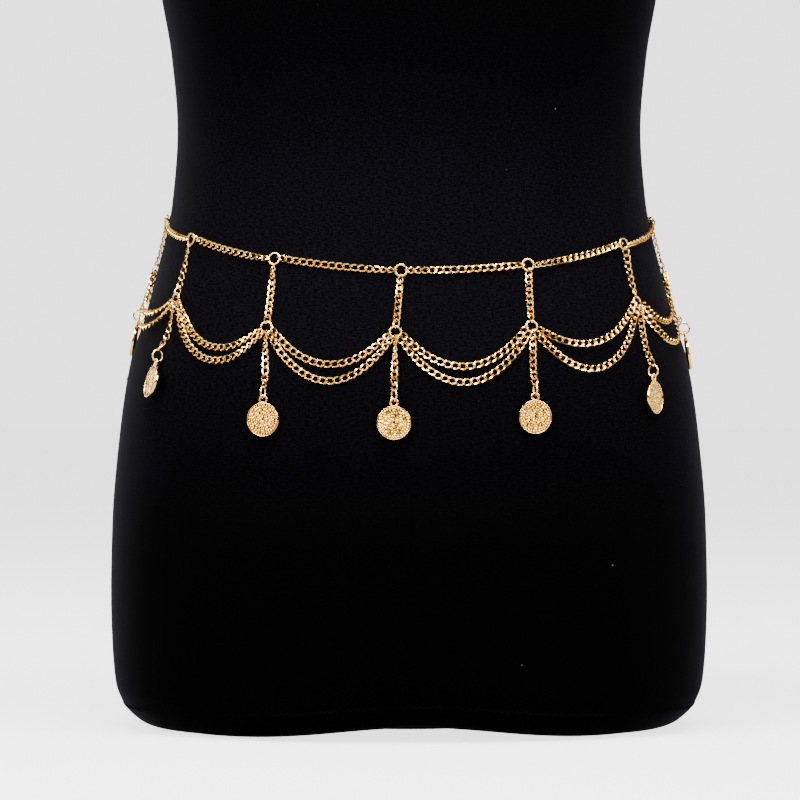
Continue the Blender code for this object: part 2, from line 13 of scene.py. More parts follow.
import bpy
import numpy as np
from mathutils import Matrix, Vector


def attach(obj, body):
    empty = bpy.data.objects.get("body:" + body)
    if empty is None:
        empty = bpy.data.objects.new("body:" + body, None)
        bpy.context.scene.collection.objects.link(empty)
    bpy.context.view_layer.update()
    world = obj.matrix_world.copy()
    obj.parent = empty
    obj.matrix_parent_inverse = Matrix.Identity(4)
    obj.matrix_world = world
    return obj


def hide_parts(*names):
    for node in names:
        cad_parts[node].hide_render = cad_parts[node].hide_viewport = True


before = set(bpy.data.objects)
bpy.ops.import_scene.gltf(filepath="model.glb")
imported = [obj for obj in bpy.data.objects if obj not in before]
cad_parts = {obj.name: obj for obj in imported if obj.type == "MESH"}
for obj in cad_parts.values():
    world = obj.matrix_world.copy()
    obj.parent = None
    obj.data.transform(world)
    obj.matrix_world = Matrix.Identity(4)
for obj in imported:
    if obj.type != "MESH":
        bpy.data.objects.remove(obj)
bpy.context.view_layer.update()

LOG = logging.getLogger("waist_chain")
MM = 0.001
ROOT = "form_and_chain"
UP = np.array([0.0, 0.0, 1.0])
# A ring's axis with a rise over this is taken as upright.
NEARLY_UP = 0.9
# Edges sharper than this are shaded as edges.
SHARP = math.radians(60)
# The form's directions are read over these steps to either side, in radians and in millimetres.
ANGLE_STEP = 0.004
HALF_STEP = 0.5
GIRTH_STEPS = 2881
CHAIN_SEED = 7

# The form's sections. The front depth is towards -Y, and squareness is a superellipse's exponent.
# columns: height, half_width, front_depth, back_depth, squareness
FORM_LEVELS = np.array(
    [
        (0.0, 157.0, 110.0, 108.0, 2.25),
        (30.0, 159.0, 116.0, 113.0, 2.25),
        (72.0, 160.4, 121.0, 117.0, 2.25),
        (110.0, 159.6, 122.0, 118.0, 2.25),
        (153.0, 156.1, 120.0, 114.0, 2.25),
        (197.0, 149.5, 116.0, 106.0, 2.25),
        (218.0, 142.5, 112.6, 101.0, 2.25),
        (240.0, 136.6, 109.0, 95.0, 2.25),
        (283.0, 127.2, 104.0, 88.0, 2.25),
        (320.0, 124.7, 101.0, 86.0, 2.2),
        (360.0, 127.9, 104.0, 90.0, 2.2),
        (392.0, 133.4, 109.5, 94.5, 2.2),
        (425.0, 138.5, 118.5, 99.0, 2.2),
        (455.0, 142.0, 128.0, 102.0, 2.2),
        (482.0, 144.0, 132.5, 104.0, 2.2),
        (508.0, 145.5, 130.0, 105.0, 2.2),
        (540.0, 149.5, 118.5, 104.5, 2.2),
        (575.0, 159.5, 102.5, 100.0, 2.2),
        (603.0, 168.0, 90.0, 93.0, 2.2),
        (620.0, 168.5, 82.0, 87.0, 2.2),
        (636.0, 158.0, 75.0, 81.0, 2.15),
        (650.0, 131.0, 68.5, 74.0, 2.1),
        (662.0, 99.0, 63.0, 67.5, 2.1),
        (675.0, 73.0, 58.0, 61.0, 2.0),
        (690.0, 59.0, 54.5, 55.5, 2.0),
        (708.0, 55.0, 52.5, 52.5, 2.0),
        (730.0, 54.0, 52.0, 52.0, 2.0),
    ]
)
FORM_TOP = 730.0
# The form's middle lies this far in front of its widest line, and is the origin.
MIDDLE = (132.5 - 118.0) / 2
GIRTH_HEIGHT = 215.0

# How the strands hang.
CHAIN_LIFT = 1.55
COIN_RING_LIFT = 3.9
WAIST_SAG = 0.8
CLOSURE_SAG = 1.2
ROUTE_STEPS = 121
# A route's lift turns to its last value from the first share, over the second one, with a power.
LIFT_TURN = (0.7, 0.3)
LIFT_POWER = 1.5
UPPER_LEAVES = math.radians(-22)
LOWER_LEAVES = math.radians(-59)
# Strands that start right of this girth are rolled at their start, the others at their end.
ROLL_CHANGE = -10.0
# Stations past this girth, to either side, are at the form's sides or behind them.
SIDE_GIRTH = 180.0

# Each station round the waist, from the left side over the front and the right side to the back.
# columns: name, top_girth, top_height, lower_girth, lower_height, coin_girth, coin_height, ring_turn,
# coin_turn, lean
# The turns about the vertical and the outward lean are in degrees.
STATIONS = (
    ("01", -203.0, 271.5, -203.0, 244.8, -208.0, 219.6, 0.0, 0.0, 0.0),
    ("02", -134.5, 258.7, -137.5, 227.7, -137.2, 197.3, 0.0, -18.0, 15.0),
    ("03", -73.5, 247.2, -73.4, 211.7, -71.1, 178.6, 0.0, 0.0, 0.0),
    ("04", -4.5, 240.8, -7.1, 209.2, -7.5, 177.0, 25.0, 0.0, 0.0),
    ("05", 63.6, 243.9, 62.2, 212.2, 60.7, 179.9, 0.0, 0.0, 0.0),
    ("06", 129.8, 256.0, 131.5, 225.6, 129.0, 189.6, 0.0, 15.0, 4.0),
    ("07", 200.0, 270.2, 202.0, 243.5, 203.0, 212.2, 0.0, 0.0, 0.0),
    ("08", 271.0, 282.0, 271.6, 251.8, 271.4, 220.5, 0.0, 0.0, 0.0),
    ("09", 345.0, 291.0, 344.2, 260.5, 344.6, 229.0, 0.0, 0.0, 0.0),
    ("10", 420.0, 293.5, 420.8, 263.0, 420.2, 231.4, 0.0, 0.0, 0.0),
    ("11", 494.0, 287.5, 493.4, 257.0, 493.8, 225.6, 0.0, 0.0, 0.0),
)
# The lowest height of the two swags between a station and the next one, and how far they stand off the
# form in their middle.
# columns: upper_lowest, lower_lowest, swell
SWAGS = (
    (221.0, 213.1, 2.4),
    (202.8, 196.0, 0.0),
    (193.1, 184.6, 0.0),
    (192.0, 183.9, 0.0),
    (204.6, 191.5, 0.0),
    (217.7, 206.4, 0.0),
    (229.5, 220.0, 0.0),
    (238.2, 229.0, 0.0),
    (244.0, 235.2, 0.0),
    (242.2, 233.0, 0.0),
)
# The extension chain, from the first station to its hanging end.
# columns: girth, height
EXTENSION_ROUTE = np.array(
    [
        (-207.2, 271.6),
        (-214.0, 272.6),
        (-221.0, 273.2),
        (-225.6, 272.6),
        (-228.2, 270.2),
        (-229.0, 266.6),
        (-228.6, 250.0),
        (-227.0, 230.0),
        (-224.6, 206.0),
        (-222.6, 186.5),
    ]
)


class Slot(Enum):
    """The record's material slots."""

    COVER = "knit_cover"
    GOLD = "gold_plate"


class Hang(Enum):
    """The two swags between neighbouring hangers."""

    UPPER = "upper"
    LOWER = "lower"


@dataclass(frozen=True)
class Place:
    """A spot on the form, by girth and height, in millimetres."""

    girth: float
    height: float


@dataclass(frozen=True)
class Station:
    """One hanger's three rings, with the turns of the coin's ring and the coin, and its lean, in degrees."""

    name: str
    top: Place
    lower: Place
    coin: Place
    ring_turn: float
    coin_turn: float
    lean: float


@dataclass(frozen=True)
class Roll:
    """How a strand is rolled about its own length at its two ends, and over which share it turns flat.

    The roll at a share t of the length is start * s(1 - t / start_fade) + end * s(1 - (1 - t) / end_fade),
    where s is a smooth step from 0 to 1.
    """

    start: float
    end: float
    start_fade: float
    end_fade: float

    def at(self, share: np.ndarray) -> np.ndarray:
        """The roll in radians at each share of the length."""
        first = smooth_step(1 - share / self.start_fade)
        last = smooth_step(1 - (1 - share) / self.end_fade)
        return np.radians(self.start * first + self.end * last)


def smooth_step(x: np.ndarray) -> np.ndarray:
    """Rises from 0 at 0 to 1 at 1 as 3x^2 - 2x^3, and is level outside."""
    x = np.clip(x, 0.0, 1.0)
    return x * x * (3 - 2 * x)


def smooth(x: np.ndarray, xs: np.ndarray, ys: np.ndarray) -> np.ndarray:
    """Interpolates a table with a monotone cubic, whose slopes are harmonic means of the steps' slopes.

    Args:
        x: Places to read.
        xs: The table's rising places.
        ys: The table's values.

    Returns:
        The values at x.
    """
    step = np.diff(xs)
    slope = np.diff(ys) / step
    tangent = np.zeros_like(ys)
    before, after = slope[:-1], slope[1:]
    rising = before * after > 0
    weight_a = 2 * step[1:] + step[:-1]
    weight_b = step[1:] + 2 * step[:-1]
    safe_before = np.where(rising, before, 1.0)
    safe_after = np.where(rising, after, 1.0)
    mean = (weight_a + weight_b) / (weight_a / safe_before + weight_b / safe_after)
    tangent[1:-1] = np.where(rising, mean, 0.0)
    x = np.clip(x, xs[0], xs[-1])
    i = np.clip(np.searchsorted(xs, x, side="right") - 1, 0, len(xs) - 2)
    t = (x - xs[i]) / step[i]
    return (
        (1 + 2 * t) * (1 - t) ** 2 * ys[i]
        + t * (1 - t) ** 2 * step[i] * tangent[i]
        + t * t * (3 - 2 * t) * ys[i + 1]
        + t * t * (t - 1) * step[i] * tangent[i + 1]
    )


def unit(vectors: np.ndarray) -> np.ndarray:
    """Vectors at length one."""
    return vectors / np.linalg.norm(vectors, axis=-1, keepdims=True)


def turned(axis: np.ndarray, degrees: float) -> np.ndarray:
    """A level axis turned about the vertical."""
    turn = math.radians(degrees)
    return axis * math.cos(turn) + np.cross(UP, axis) * math.sin(turn)


def run_of(points: np.ndarray) -> np.ndarray:
    """The distance along a line of points, from its first one."""
    return np.concatenate([[0.0], np.cumsum(np.linalg.norm(np.diff(points, axis=0), axis=1))])


class Torso:
    """The dress form's surface, read by angle or by girth, and by height.

    A section is a superellipse: at an angle from the middle of the front, its radius is
    ((|sin| / half width)^n + (|cos| / depth)^n)^(-1/n). The girth runs to the right as seen from the front.
    """

    def __init__(self) -> None:
        """Lays the girth's scale round the section at GIRTH_HEIGHT."""
        self.angles = np.linspace(-2 * math.pi, 2 * math.pi, GIRTH_STEPS)
        ring = self.section(self.angles, np.full_like(self.angles, GIRTH_HEIGHT))
        run = run_of(ring)
        self.girths = run - run[len(run) // 2]
        self.full_girth = float(self.girths[-1])

    def section(self, angle: np.ndarray, height: np.ndarray, inset: np.ndarray | float = 0.0) -> np.ndarray:
        """Points on the section outline at each angle and height.

        Args:
            angle: Angles from the middle of the front, in radians.
            height: Heights.
            inset: How far the outline is drawn in.

        Returns:
            The points.
        """
        columns = [smooth(height, FORM_LEVELS[:, 0], FORM_LEVELS[:, c]) for c in (1, 2, 3, 4)]
        width, front, back, power = columns
        depth = np.where(np.cos(angle) > 0, front, back)
        across = (np.abs(np.sin(angle)) / (width - inset)) ** power
        along = (np.abs(np.cos(angle)) / (depth - inset)) ** power
        radius = (across + along) ** (-1 / power)
        return np.stack([radius * np.sin(angle), MIDDLE - radius * np.cos(angle), height], axis=-1)

    def frame(self, girth: np.ndarray, height: np.ndarray) -> tuple[np.ndarray, ...]:
        """Surface points with the outward normal, the rightward and the upward direction."""
        girth, height = np.broadcast_arrays(np.asarray(girth, float), np.asarray(height, float))
        angle = np.interp(girth, self.girths, self.angles)
        here = self.section(angle, height)
        right = unit(self.section(angle + ANGLE_STEP, height) - self.section(angle - ANGLE_STEP, height))
        up = self.section(angle, height + HALF_STEP) - self.section(angle, height - HALF_STEP)
        normal = unit(np.cross(right, up))
        return here, normal, right, np.cross(normal, right)

    def point(self, girth: np.ndarray, height: np.ndarray, lift: np.ndarray | float) -> np.ndarray:
        """Points at a lift off the surface."""
        here, normal, _, _ = self.frame(girth, height)
        return here + normal * np.asarray(lift, float)[..., None]

    def leave(self, ring: Place, angle: float, reach: float) -> Place:
        """The place at a distance from a ring's middle, at an angle from rightward to upward."""
        girth, height, step = ring.girth, ring.height, HALF_STEP
        side = self.point(girth + step, height, 0.0) - self.point(girth - step, height, 0.0)
        rise = self.point(girth, height + step, 0.0) - self.point(girth, height - step, 0.0)
        return Place(
            ring.girth + reach * math.cos(angle) / float(np.linalg.norm(side)),
            ring.height + reach * math.sin(angle) / float(np.linalg.norm(rise)),
        )


def straight(start: Place, end: Place, lifts: tuple[float, float] = (CHAIN_LIFT, CHAIN_LIFT),
             sag: float = 0.0, swell: float = 0.0) -> np.ndarray:
    """A route between two places.

    It hangs by sag * 4t(1 - t) and stands off by swell * 4t(1 - t), and its lift turns from the first to the
    second over its last three tenths.

    Args:
        start: Where it starts.
        end: Where it ends.
        lifts: Its lift off the form at its start and end.
        sag: How far its middle hangs.
        swell: How far its middle stands off.

    Returns:
        Rows of girth, height and lift.
    """
    t = np.linspace(0, 1, ROUTE_STEPS)
    height = start.height + (end.height - start.height) * t - 4 * sag * t * (1 - t)
    share = np.clip((t - LIFT_TURN[0]) / LIFT_TURN[1], 0, 1) ** LIFT_POWER
    lift = lifts[0] + (lifts[1] - lifts[0]) * share + 4 * swell * t * (1 - t)
    return np.stack([start.girth + (end.girth - start.girth) * t, height, lift], axis=-1)


class Surface:
    """Grids of points gathered into one mesh, in millimetres until it is built."""

    def __init__(self) -> None:
        """Starts empty."""
        self.points: list[np.ndarray] = []
        self.quads: list[np.ndarray] = []
        self.caps: list[np.ndarray] = []
        self.corner_maps: list[np.ndarray] = []
        self.levels: list[np.ndarray] = []
        self.count = 0

    def add_grid(self, grid: np.ndarray, closed: tuple[bool, bool], spacing: tuple[float, float] = (1.0, 1.0),
                 capped: bool = False, level: np.ndarray | None = None) -> None:
        """Adds grids of points with a face between each four neighbours.

        The outside is where rows cross columns by the right-hand rule: columns run counterclockwise about
        the direction of the rows.

        Args:
            grid: Points by copy (which may be left out), row, column and axis.
            closed: Whether the last row meets the first, and the last column the first.
            spacing: The pattern map's step from row to row and from column to column, in metres.
            capped: Whether the first and last row are closed by a face.
            level: A value of each point, which a material may read.
        """
        grid = grid.reshape(-1, *grid.shape[-3:])
        copies, rows, columns, _ = grid.shape
        row = np.arange(rows if closed[0] else rows - 1)[:, None]
        column = np.arange(columns if closed[1] else columns - 1)[None, :]
        steps = ((0, 0), (0, 1), (1, 1), (1, 0))
        corner = [((row + a) % rows) * columns + (column + b) % columns for a, b in steps]
        quads = np.stack(corner, axis=-1).reshape(-1, 4)
        offsets = self.count + np.arange(copies) * rows * columns
        self.quads.append((quads[None] + offsets[:, None, None]).reshape(-1, 4))
        flat = [np.stack(np.broadcast_arrays((column + b) * spacing[1], (row + a) * spacing[0]), axis=-1)
                for a, b in steps]
        pattern = np.stack(flat, axis=-2).reshape(-1, 2)
        self.corner_maps.append(np.tile(pattern, (copies, 1)))
        if capped:
            first = np.arange(columns)[::-1]
            last = (rows - 1) * columns + np.arange(columns)
            self.caps.extend(end + offset for offset in offsets for end in (first, last))
        self.points.append(grid.reshape(-1, 3))
        self.levels.append(np.ones(grid.size // 3) if level is None else level.reshape(-1))
        self.count += grid.size // 3

    def build(self, name: str, material: bpy.types.Material, pattern: str = "",
              level: str = "") -> bpy.types.Object:
        """Makes the Blender object, in metres, at the origin.

        Args:
            name: The object's name.
            material: Its material.
            pattern: The name of the pattern map, where it has one.
            level: The name of the points' value, where it has one.

        Returns:
            The object.
        """
        points = np.concatenate(self.points) * MM
        quads = np.concatenate(self.quads)
        sides = np.concatenate([np.full(len(quads), 4), [len(cap) for cap in self.caps]]).astype(np.int32)
        corners = np.concatenate([quads.reshape(-1), *self.caps]).astype(np.int32)
        mesh = bpy.data.meshes.new(name)
        mesh.vertices.add(len(points))
        mesh.vertices.foreach_set("co", points.astype(np.float32).ravel())
        mesh.loops.add(len(corners))
        mesh.loops.foreach_set("vertex_index", corners)
        mesh.polygons.add(len(sides))
        mesh.polygons.foreach_set("loop_start", (np.cumsum(sides) - sides).astype(np.int32))
        mesh.polygons.foreach_set("loop_total", sides)
        mesh.update(calc_edges=True)
        if pattern:
            flat = np.concatenate([*self.corner_maps, np.zeros((len(corners) - quads.size, 2))])
            mesh.uv_layers.new(name=pattern).data.foreach_set("uv", flat.astype(np.float32).ravel())
        if level:
            attribute = mesh.attributes.new(level, "FLOAT", "POINT")
            attribute.data.foreach_set("value", np.concatenate(self.levels).astype(np.float32))
        mesh.validate()
        mesh.shade_smooth()
        mesh.set_sharp_from_angle(angle=SHARP)
        mesh.materials.append(material)
        piece = bpy.data.objects.new(name, mesh)
        bpy.context.scene.collection.objects.link(piece)
        return piece


def dress(piece: bpy.types.Object, body: str, slot: Slot, *nodes: str) -> None:
    """Makes a piece ride on a body in place of its nodes, and reports it.

    Args:
        piece: The piece.
        body: The body that carries it.
        slot: The record's slot for its finish. It is not used.
        nodes: The solids that it stands for.
    """
    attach(piece, body)
    if nodes:
        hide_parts(*nodes)
    LOG.info("%s rides on %s, %d faces", piece.name, body, len(piece.data.polygons))


def linear(code: str) -> tuple[float, float, float, float]:
    """The linear colour of an sRGB hex value."""
    values = [int(code[i : i + 2], 16) / 255 for i in (1, 3, 5)]
    return (*[v / 12.92 if v <= 0.04045 else ((v + 0.055) / 1.055) ** 2.4 for v in values], 1.0)


def fill(tree: bpy.types.NodeTree, node: bpy.types.Node, settings: dict) -> None:
    """Gives a node its settings.

    Args:
        tree: The tree that it is in.
        node: The node.
        settings: Values or other nodes' outputs, by property, or by input name or number.
    """
    for key, value in settings.items():
        if isinstance(value, bpy.types.NodeSocket):
            tree.links.new(value, node.inputs[key])
        elif isinstance(key, str) and hasattr(node, key):
            setattr(node, key, value)
        else:
            node.inputs[key].default_value = value


def add_node(tree: bpy.types.NodeTree, kind: str, settings: dict | None = None) -> bpy.types.Node:
    """Adds a node of a type to a tree, with its settings as fill takes them."""
    node = tree.nodes.new(kind)
    fill(tree, node, settings or {})
    return node


def maths(tree: bpy.types.NodeTree, operation: str,
          *terms: float | bpy.types.NodeSocket) -> bpy.types.NodeSocket:
    """The result of an operation on its terms, each a value or another node's output."""
    return add_node(tree, "ShaderNodeMath", {"operation": operation, **dict(enumerate(terms))}).outputs[0]


def noise(tree: bpy.types.NodeTree, place: bpy.types.NodeSocket, size_mm: float, detail: float = 2.0,
          roughness: float = 0.5) -> bpy.types.NodeSocket:
    """The value of smooth noise.

    Args:
        tree: The tree that it goes into.
        place: Where it is read.
        size_mm: About how large its patches are, in millimetres.
        detail: How many finer layers it has.
        roughness: How strong each finer layer is.

    Returns:
        The value.
    """
    settings = {"Scale": 1 / (size_mm * MM), "Detail": detail, "Roughness": roughness, "Vector": place}
    return add_node(tree, "ShaderNodeTexNoise", settings).outputs["Fac"]


def blend(tree: bpy.types.NodeTree, share: bpy.types.NodeSocket,
          *colours: str | bpy.types.NodeSocket) -> bpy.types.NodeSocket:
    """Mixes two colours, each a hex value or another node's output, by the second one's share."""
    first, second = (linear(side) if isinstance(side, str) else side for side in colours)
    return add_node(tree, "ShaderNodeMix", {"data_type": "RGBA", 0: share, 6: first, 7: second}).outputs[2]


def spread(tree: bpy.types.NodeTree, value: bpy.types.NodeSocket, reach: tuple[float, float],
           to: tuple[float, float] = (0.0, 1.0)) -> bpy.types.NodeSocket:
    """Maps a value's reach evenly onto another range, and holds it level outside.

    Args:
        tree: The tree that it goes into.
        value: The value.
        reach: The two ends of what it is read over.
        to: What it is at those ends.

    Returns:
        The result.
    """
    settings = {"From Min": reach[0], "From Max": reach[1], "To Min": to[0], "To Max": to[1], "Value": value}
    return add_node(tree, "ShaderNodeMapRange", settings).outputs[0]


def raised(tree: bpy.types.NodeTree, height: bpy.types.NodeSocket, depth_mm: float) -> bpy.types.NodeSocket:
    """The normal of a surface that a value raises by up to a depth, in millimetres."""
    settings = {"Strength": 1.0, "Distance": depth_mm * MM, "Height": height}
    return add_node(tree, "ShaderNodeBump", settings).outputs["Normal"]


def bare_material(name: str) -> tuple[bpy.types.Material, bpy.types.NodeTree, bpy.types.Node]:
    """Makes a material and gives it with its tree and its shader."""
    material = bpy.data.materials.new(name)
    material.use_nodes = True
    return material, material.node_tree, material.node_tree.nodes["Principled BSDF"]


@dataclass(frozen=True)
class GoldPlate:
    """Polished brass with a thin gold plating: a warm mirror, a little softer where the plating is thin.

    Colours are the plating's reflection in its bright and its deep patches.
    """

    name: str = "gold_plated_brass"
    bright: str = "#F6C558"
    deep: str = "#E3AF4F"
    # The colour that the stamping's hollows are painted, as painted shade.
    painted_hollow_shade: str = "#7A4C16"
    roughness: tuple[float, float] = (0.12, 0.2)
    patch_mm: float = 3.0
    patch_detail: float = 3.0
    grain_mm: float = 0.35
    grain_span: tuple[float, float] = (0.3, 0.7)
    grain_depth_mm: float = 0.004
    # A stamping is fully gold from this tone up.
    full_gold: float = 0.75
    stamped: bool = False

    def make(self) -> bpy.types.Material:
        """Builds the material, in the piece's own coordinates.

        Returns:
            The material.
        """
        material, tree, shader = bare_material(self.name)
        place = add_node(tree, "ShaderNodeTexCoord").outputs["Object"]
        # Patches of thicker and thinner plating, a few links across.
        patch = noise(tree, place, self.patch_mm, self.patch_detail)
        # Polishing grain, finer than a link's wire.
        grain = noise(tree, place, self.grain_mm)
        colour = blend(tree, patch, self.deep, self.bright)
        if self.stamped:
            # Painted shade: the relief's hollows, at low tone, are painted a dark brown in place of the shade
            # that falls in them, and only its tops are fully gold.
            tone = add_node(tree, "ShaderNodeAttribute", {"attribute_name": "tone"}).outputs["Fac"]
            colour = blend(tree, spread(tree, tone, (0.0, self.full_gold)), self.painted_hollow_shade, colour)
        fill(tree, shader, {"Base Color": colour, "Metallic": 1.0,
                            "Roughness": spread(tree, grain, self.grain_span, self.roughness),
                            "Normal": raised(tree, grain, self.grain_depth_mm)})
        return material


@dataclass(frozen=True)
class KnitCover:
    """Black viscose jersey, fine-ribbed and drawn tight: almost no light comes back but on its turned edges.

    Its ribs follow the pattern map, whose first number is the girth and whose second is the height, in
    metres, so they run up the form as the cover's wales do. The points' value that the material reads is
    painted light: it is high round the hips, where the cover faces up to the top light, and low towards
    the bottom, and the cover is painted lighter where it is high.
    """

    name: str = "black_rib_jersey"
    dark: str = "#000000"
    # The light end of the cloth's tone, reached by the fuzz and by the painted light.
    fuzz_and_painted_light: str = "#0E0C11"
    lint: str = "#4A4A50"
    rib_mm: float = 1.6
    rib_share: float = 0.05
    stitch_mm: float = 1.3
    # How far a stitch's V reaches along its wale, in radians of the course.
    vee: float = 1.4
    relief_mm: float = 0.06
    fuzz_mm: tuple[float, float] = (2.2, 0.8)
    fuzz_detail: float = 4.0
    fuzz_roughness: float = 0.7
    fuzz_span: tuple[float, float] = (0.36, 0.68)
    draw_mm: float = 26.0
    draw_shares: tuple[float, float] = (0.4, 0.64)
    lint_cell_mm: float = 11.0
    lint_share: float = 0.09
    # A fibre's reach, as a share of its cell.
    lint_size: float = 0.05
    roughness: float = 0.85
    gloss: float = 0.006
    sheen: float = 0.03
    sheen_roughness: float = 0.3
    sheen_tint: str = "#B9B4C6"

    def make(self) -> bpy.types.Material:
        """Builds the material, on the cover's pattern map.

        Returns:
            The material.
        """
        material, tree, shader = bare_material(self.name)
        place = add_node(tree, "ShaderNodeUVMap", {"uv_map": "knit"}).outputs["UV"]
        split = add_node(tree, "ShaderNodeSeparateXYZ", {"Vector": place})
        # Wales: the real ones are about 0.8 mm apart, and drawn twice as wide so that they show.
        wale = maths(tree, "MULTIPLY", split.outputs["X"], 2 * math.pi / (self.rib_mm * MM))
        rib = maths(tree, "COSINE", wale)
        # Courses: each stitch is a V over its wale, so its phase follows the rib.
        course = maths(tree, "MULTIPLY", split.outputs["Y"], 2 * math.pi / (self.stitch_mm * MM))
        loop = maths(tree, "SINE", maths(tree, "MULTIPLY_ADD", rib, self.vee, course))
        knit = maths(tree, "ADD", loop, rib)
        # The yarn's fuzz lies in short streaks along the courses, and hides most of the ribs.
        squeeze = (self.fuzz_mm[1] / self.fuzz_mm[0], 1.0, 1.0)
        streak = add_node(tree, "ShaderNodeMapping", {"Scale": squeeze, "Vector": place}).outputs[0]
        sharp = spread(tree, noise(tree, streak, self.fuzz_mm[1], self.fuzz_detail, self.fuzz_roughness),
                       self.fuzz_span)
        # It is a share of the tone, with the ribs as a tenth either way.
        rough = maths(tree, "MULTIPLY_ADD", knit, self.rib_share, sharp)
        # The uneven draw of the cover, and painted light: lighter round the hips, where the cover faces up to
        # the top light, darker towards the bottom.
        painted_light = add_node(tree, "ShaderNodeAttribute", {"attribute_name": "painted_light"}).outputs["Fac"]
        drawn = spread(tree, noise(tree, place, self.draw_mm), (0.0, 1.0), self.draw_shares)
        shade = maths(tree, "MULTIPLY", rough, maths(tree, "MULTIPLY", painted_light, drawn))
        cloth = blend(tree, shade, self.dark, self.fuzz_and_painted_light)
        # Lint: a few cells of a loose scatter hold one pale fibre each.
        scale = 1 / (self.lint_cell_mm * MM)
        cells = add_node(tree, "ShaderNodeTexVoronoi", {"Scale": scale, "Vector": place})
        chance = add_node(tree, "ShaderNodeSeparateColor", {"Color": cells.outputs["Color"]}).outputs[0]
        near = spread(tree, cells.outputs["Distance"], (0.0, self.lint_size), (1.0, 0.0))
        speck = maths(tree, "MULTIPLY", maths(tree, "LESS_THAN", chance, self.lint_share), near)
        fill(tree, shader, {"Base Color": blend(tree, speck, cloth, self.lint), "Roughness": self.roughness,
                            "Specular IOR Level": self.gloss, "Sheen Weight": self.sheen,
                            "Sheen Roughness": self.sheen_roughness, "Sheen Tint": linear(self.sheen_tint),
                            "Normal": raised(tree, sharp, self.relief_mm)})
        return material


@dataclass(frozen=True)
class PaperFloor:
    """Matt white backdrop paper with a faint uneven tone, which the camera sees lit through from below."""

    name: str = "white_backdrop_paper"
    light: str = "#9E9E9E"
    shade: str = "#989898"
    patch_mm: float = 180.0
    roughness: float = 0.9
    gloss: float = 0.1
    glow: float = 2.3

    def make(self) -> bpy.types.Material:
        """Builds the material, in the floor's own coordinates.

        Returns:
            The material.
        """
        material, tree, shader = bare_material(self.name)
        place = add_node(tree, "ShaderNodeTexCoord").outputs["Object"]
        colour = blend(tree, noise(tree, place, self.patch_mm), self.shade, self.light)
        # The glow is like the backdrop's, and sends no light onto the form.
        seen = add_node(tree, "ShaderNodeLightPath").outputs["Is Camera Ray"]
        fill(tree, shader, {"Base Color": colour, "Roughness": self.roughness,
                            "Specular IOR Level": self.gloss, "Emission Color": linear("#FFFFFF"),
                            "Emission Strength": maths(tree, "MULTIPLY", seen, self.glow)})
        return material


def tube(path: np.ndarray, radius: np.ndarray | float, guide: np.ndarray, sides: int,
         looped: bool) -> np.ndarray:
    """Carries a circle along a path.

    The circle's first axis is the guide less its part along the path, and the second crosses it.

    Args:
        path: Points by copy (which may be left out), step and axis.
        radius: The circle's radius, one value or one for each step.
        guide: A direction for the circle's first axis, one or one for each step.
        sides: The circle's number of points.
        looped: Whether the path closes on itself.

    Returns:
        Points by copy, step, side and axis.
    """
    if looped:
        along = np.roll(path, -1, axis=-2) - np.roll(path, 1, axis=-2)
    else:
        along = np.gradient(path, axis=-2)
    along = unit(along)
    guide = np.broadcast_to(guide, path.shape)
    first = unit(guide - along * np.sum(guide * along, axis=-1, keepdims=True))
    second = np.cross(along, first)
    turn = np.arange(sides) * 2 * math.pi / sides
    reach = np.broadcast_to(np.asarray(radius, float), path.shape[:-1])[..., None, None]
    spokes = np.cos(turn)[:, None] * first[..., None, :] + np.sin(turn)[:, None] * second[..., None, :]
    return path[..., None, :] + reach * spokes


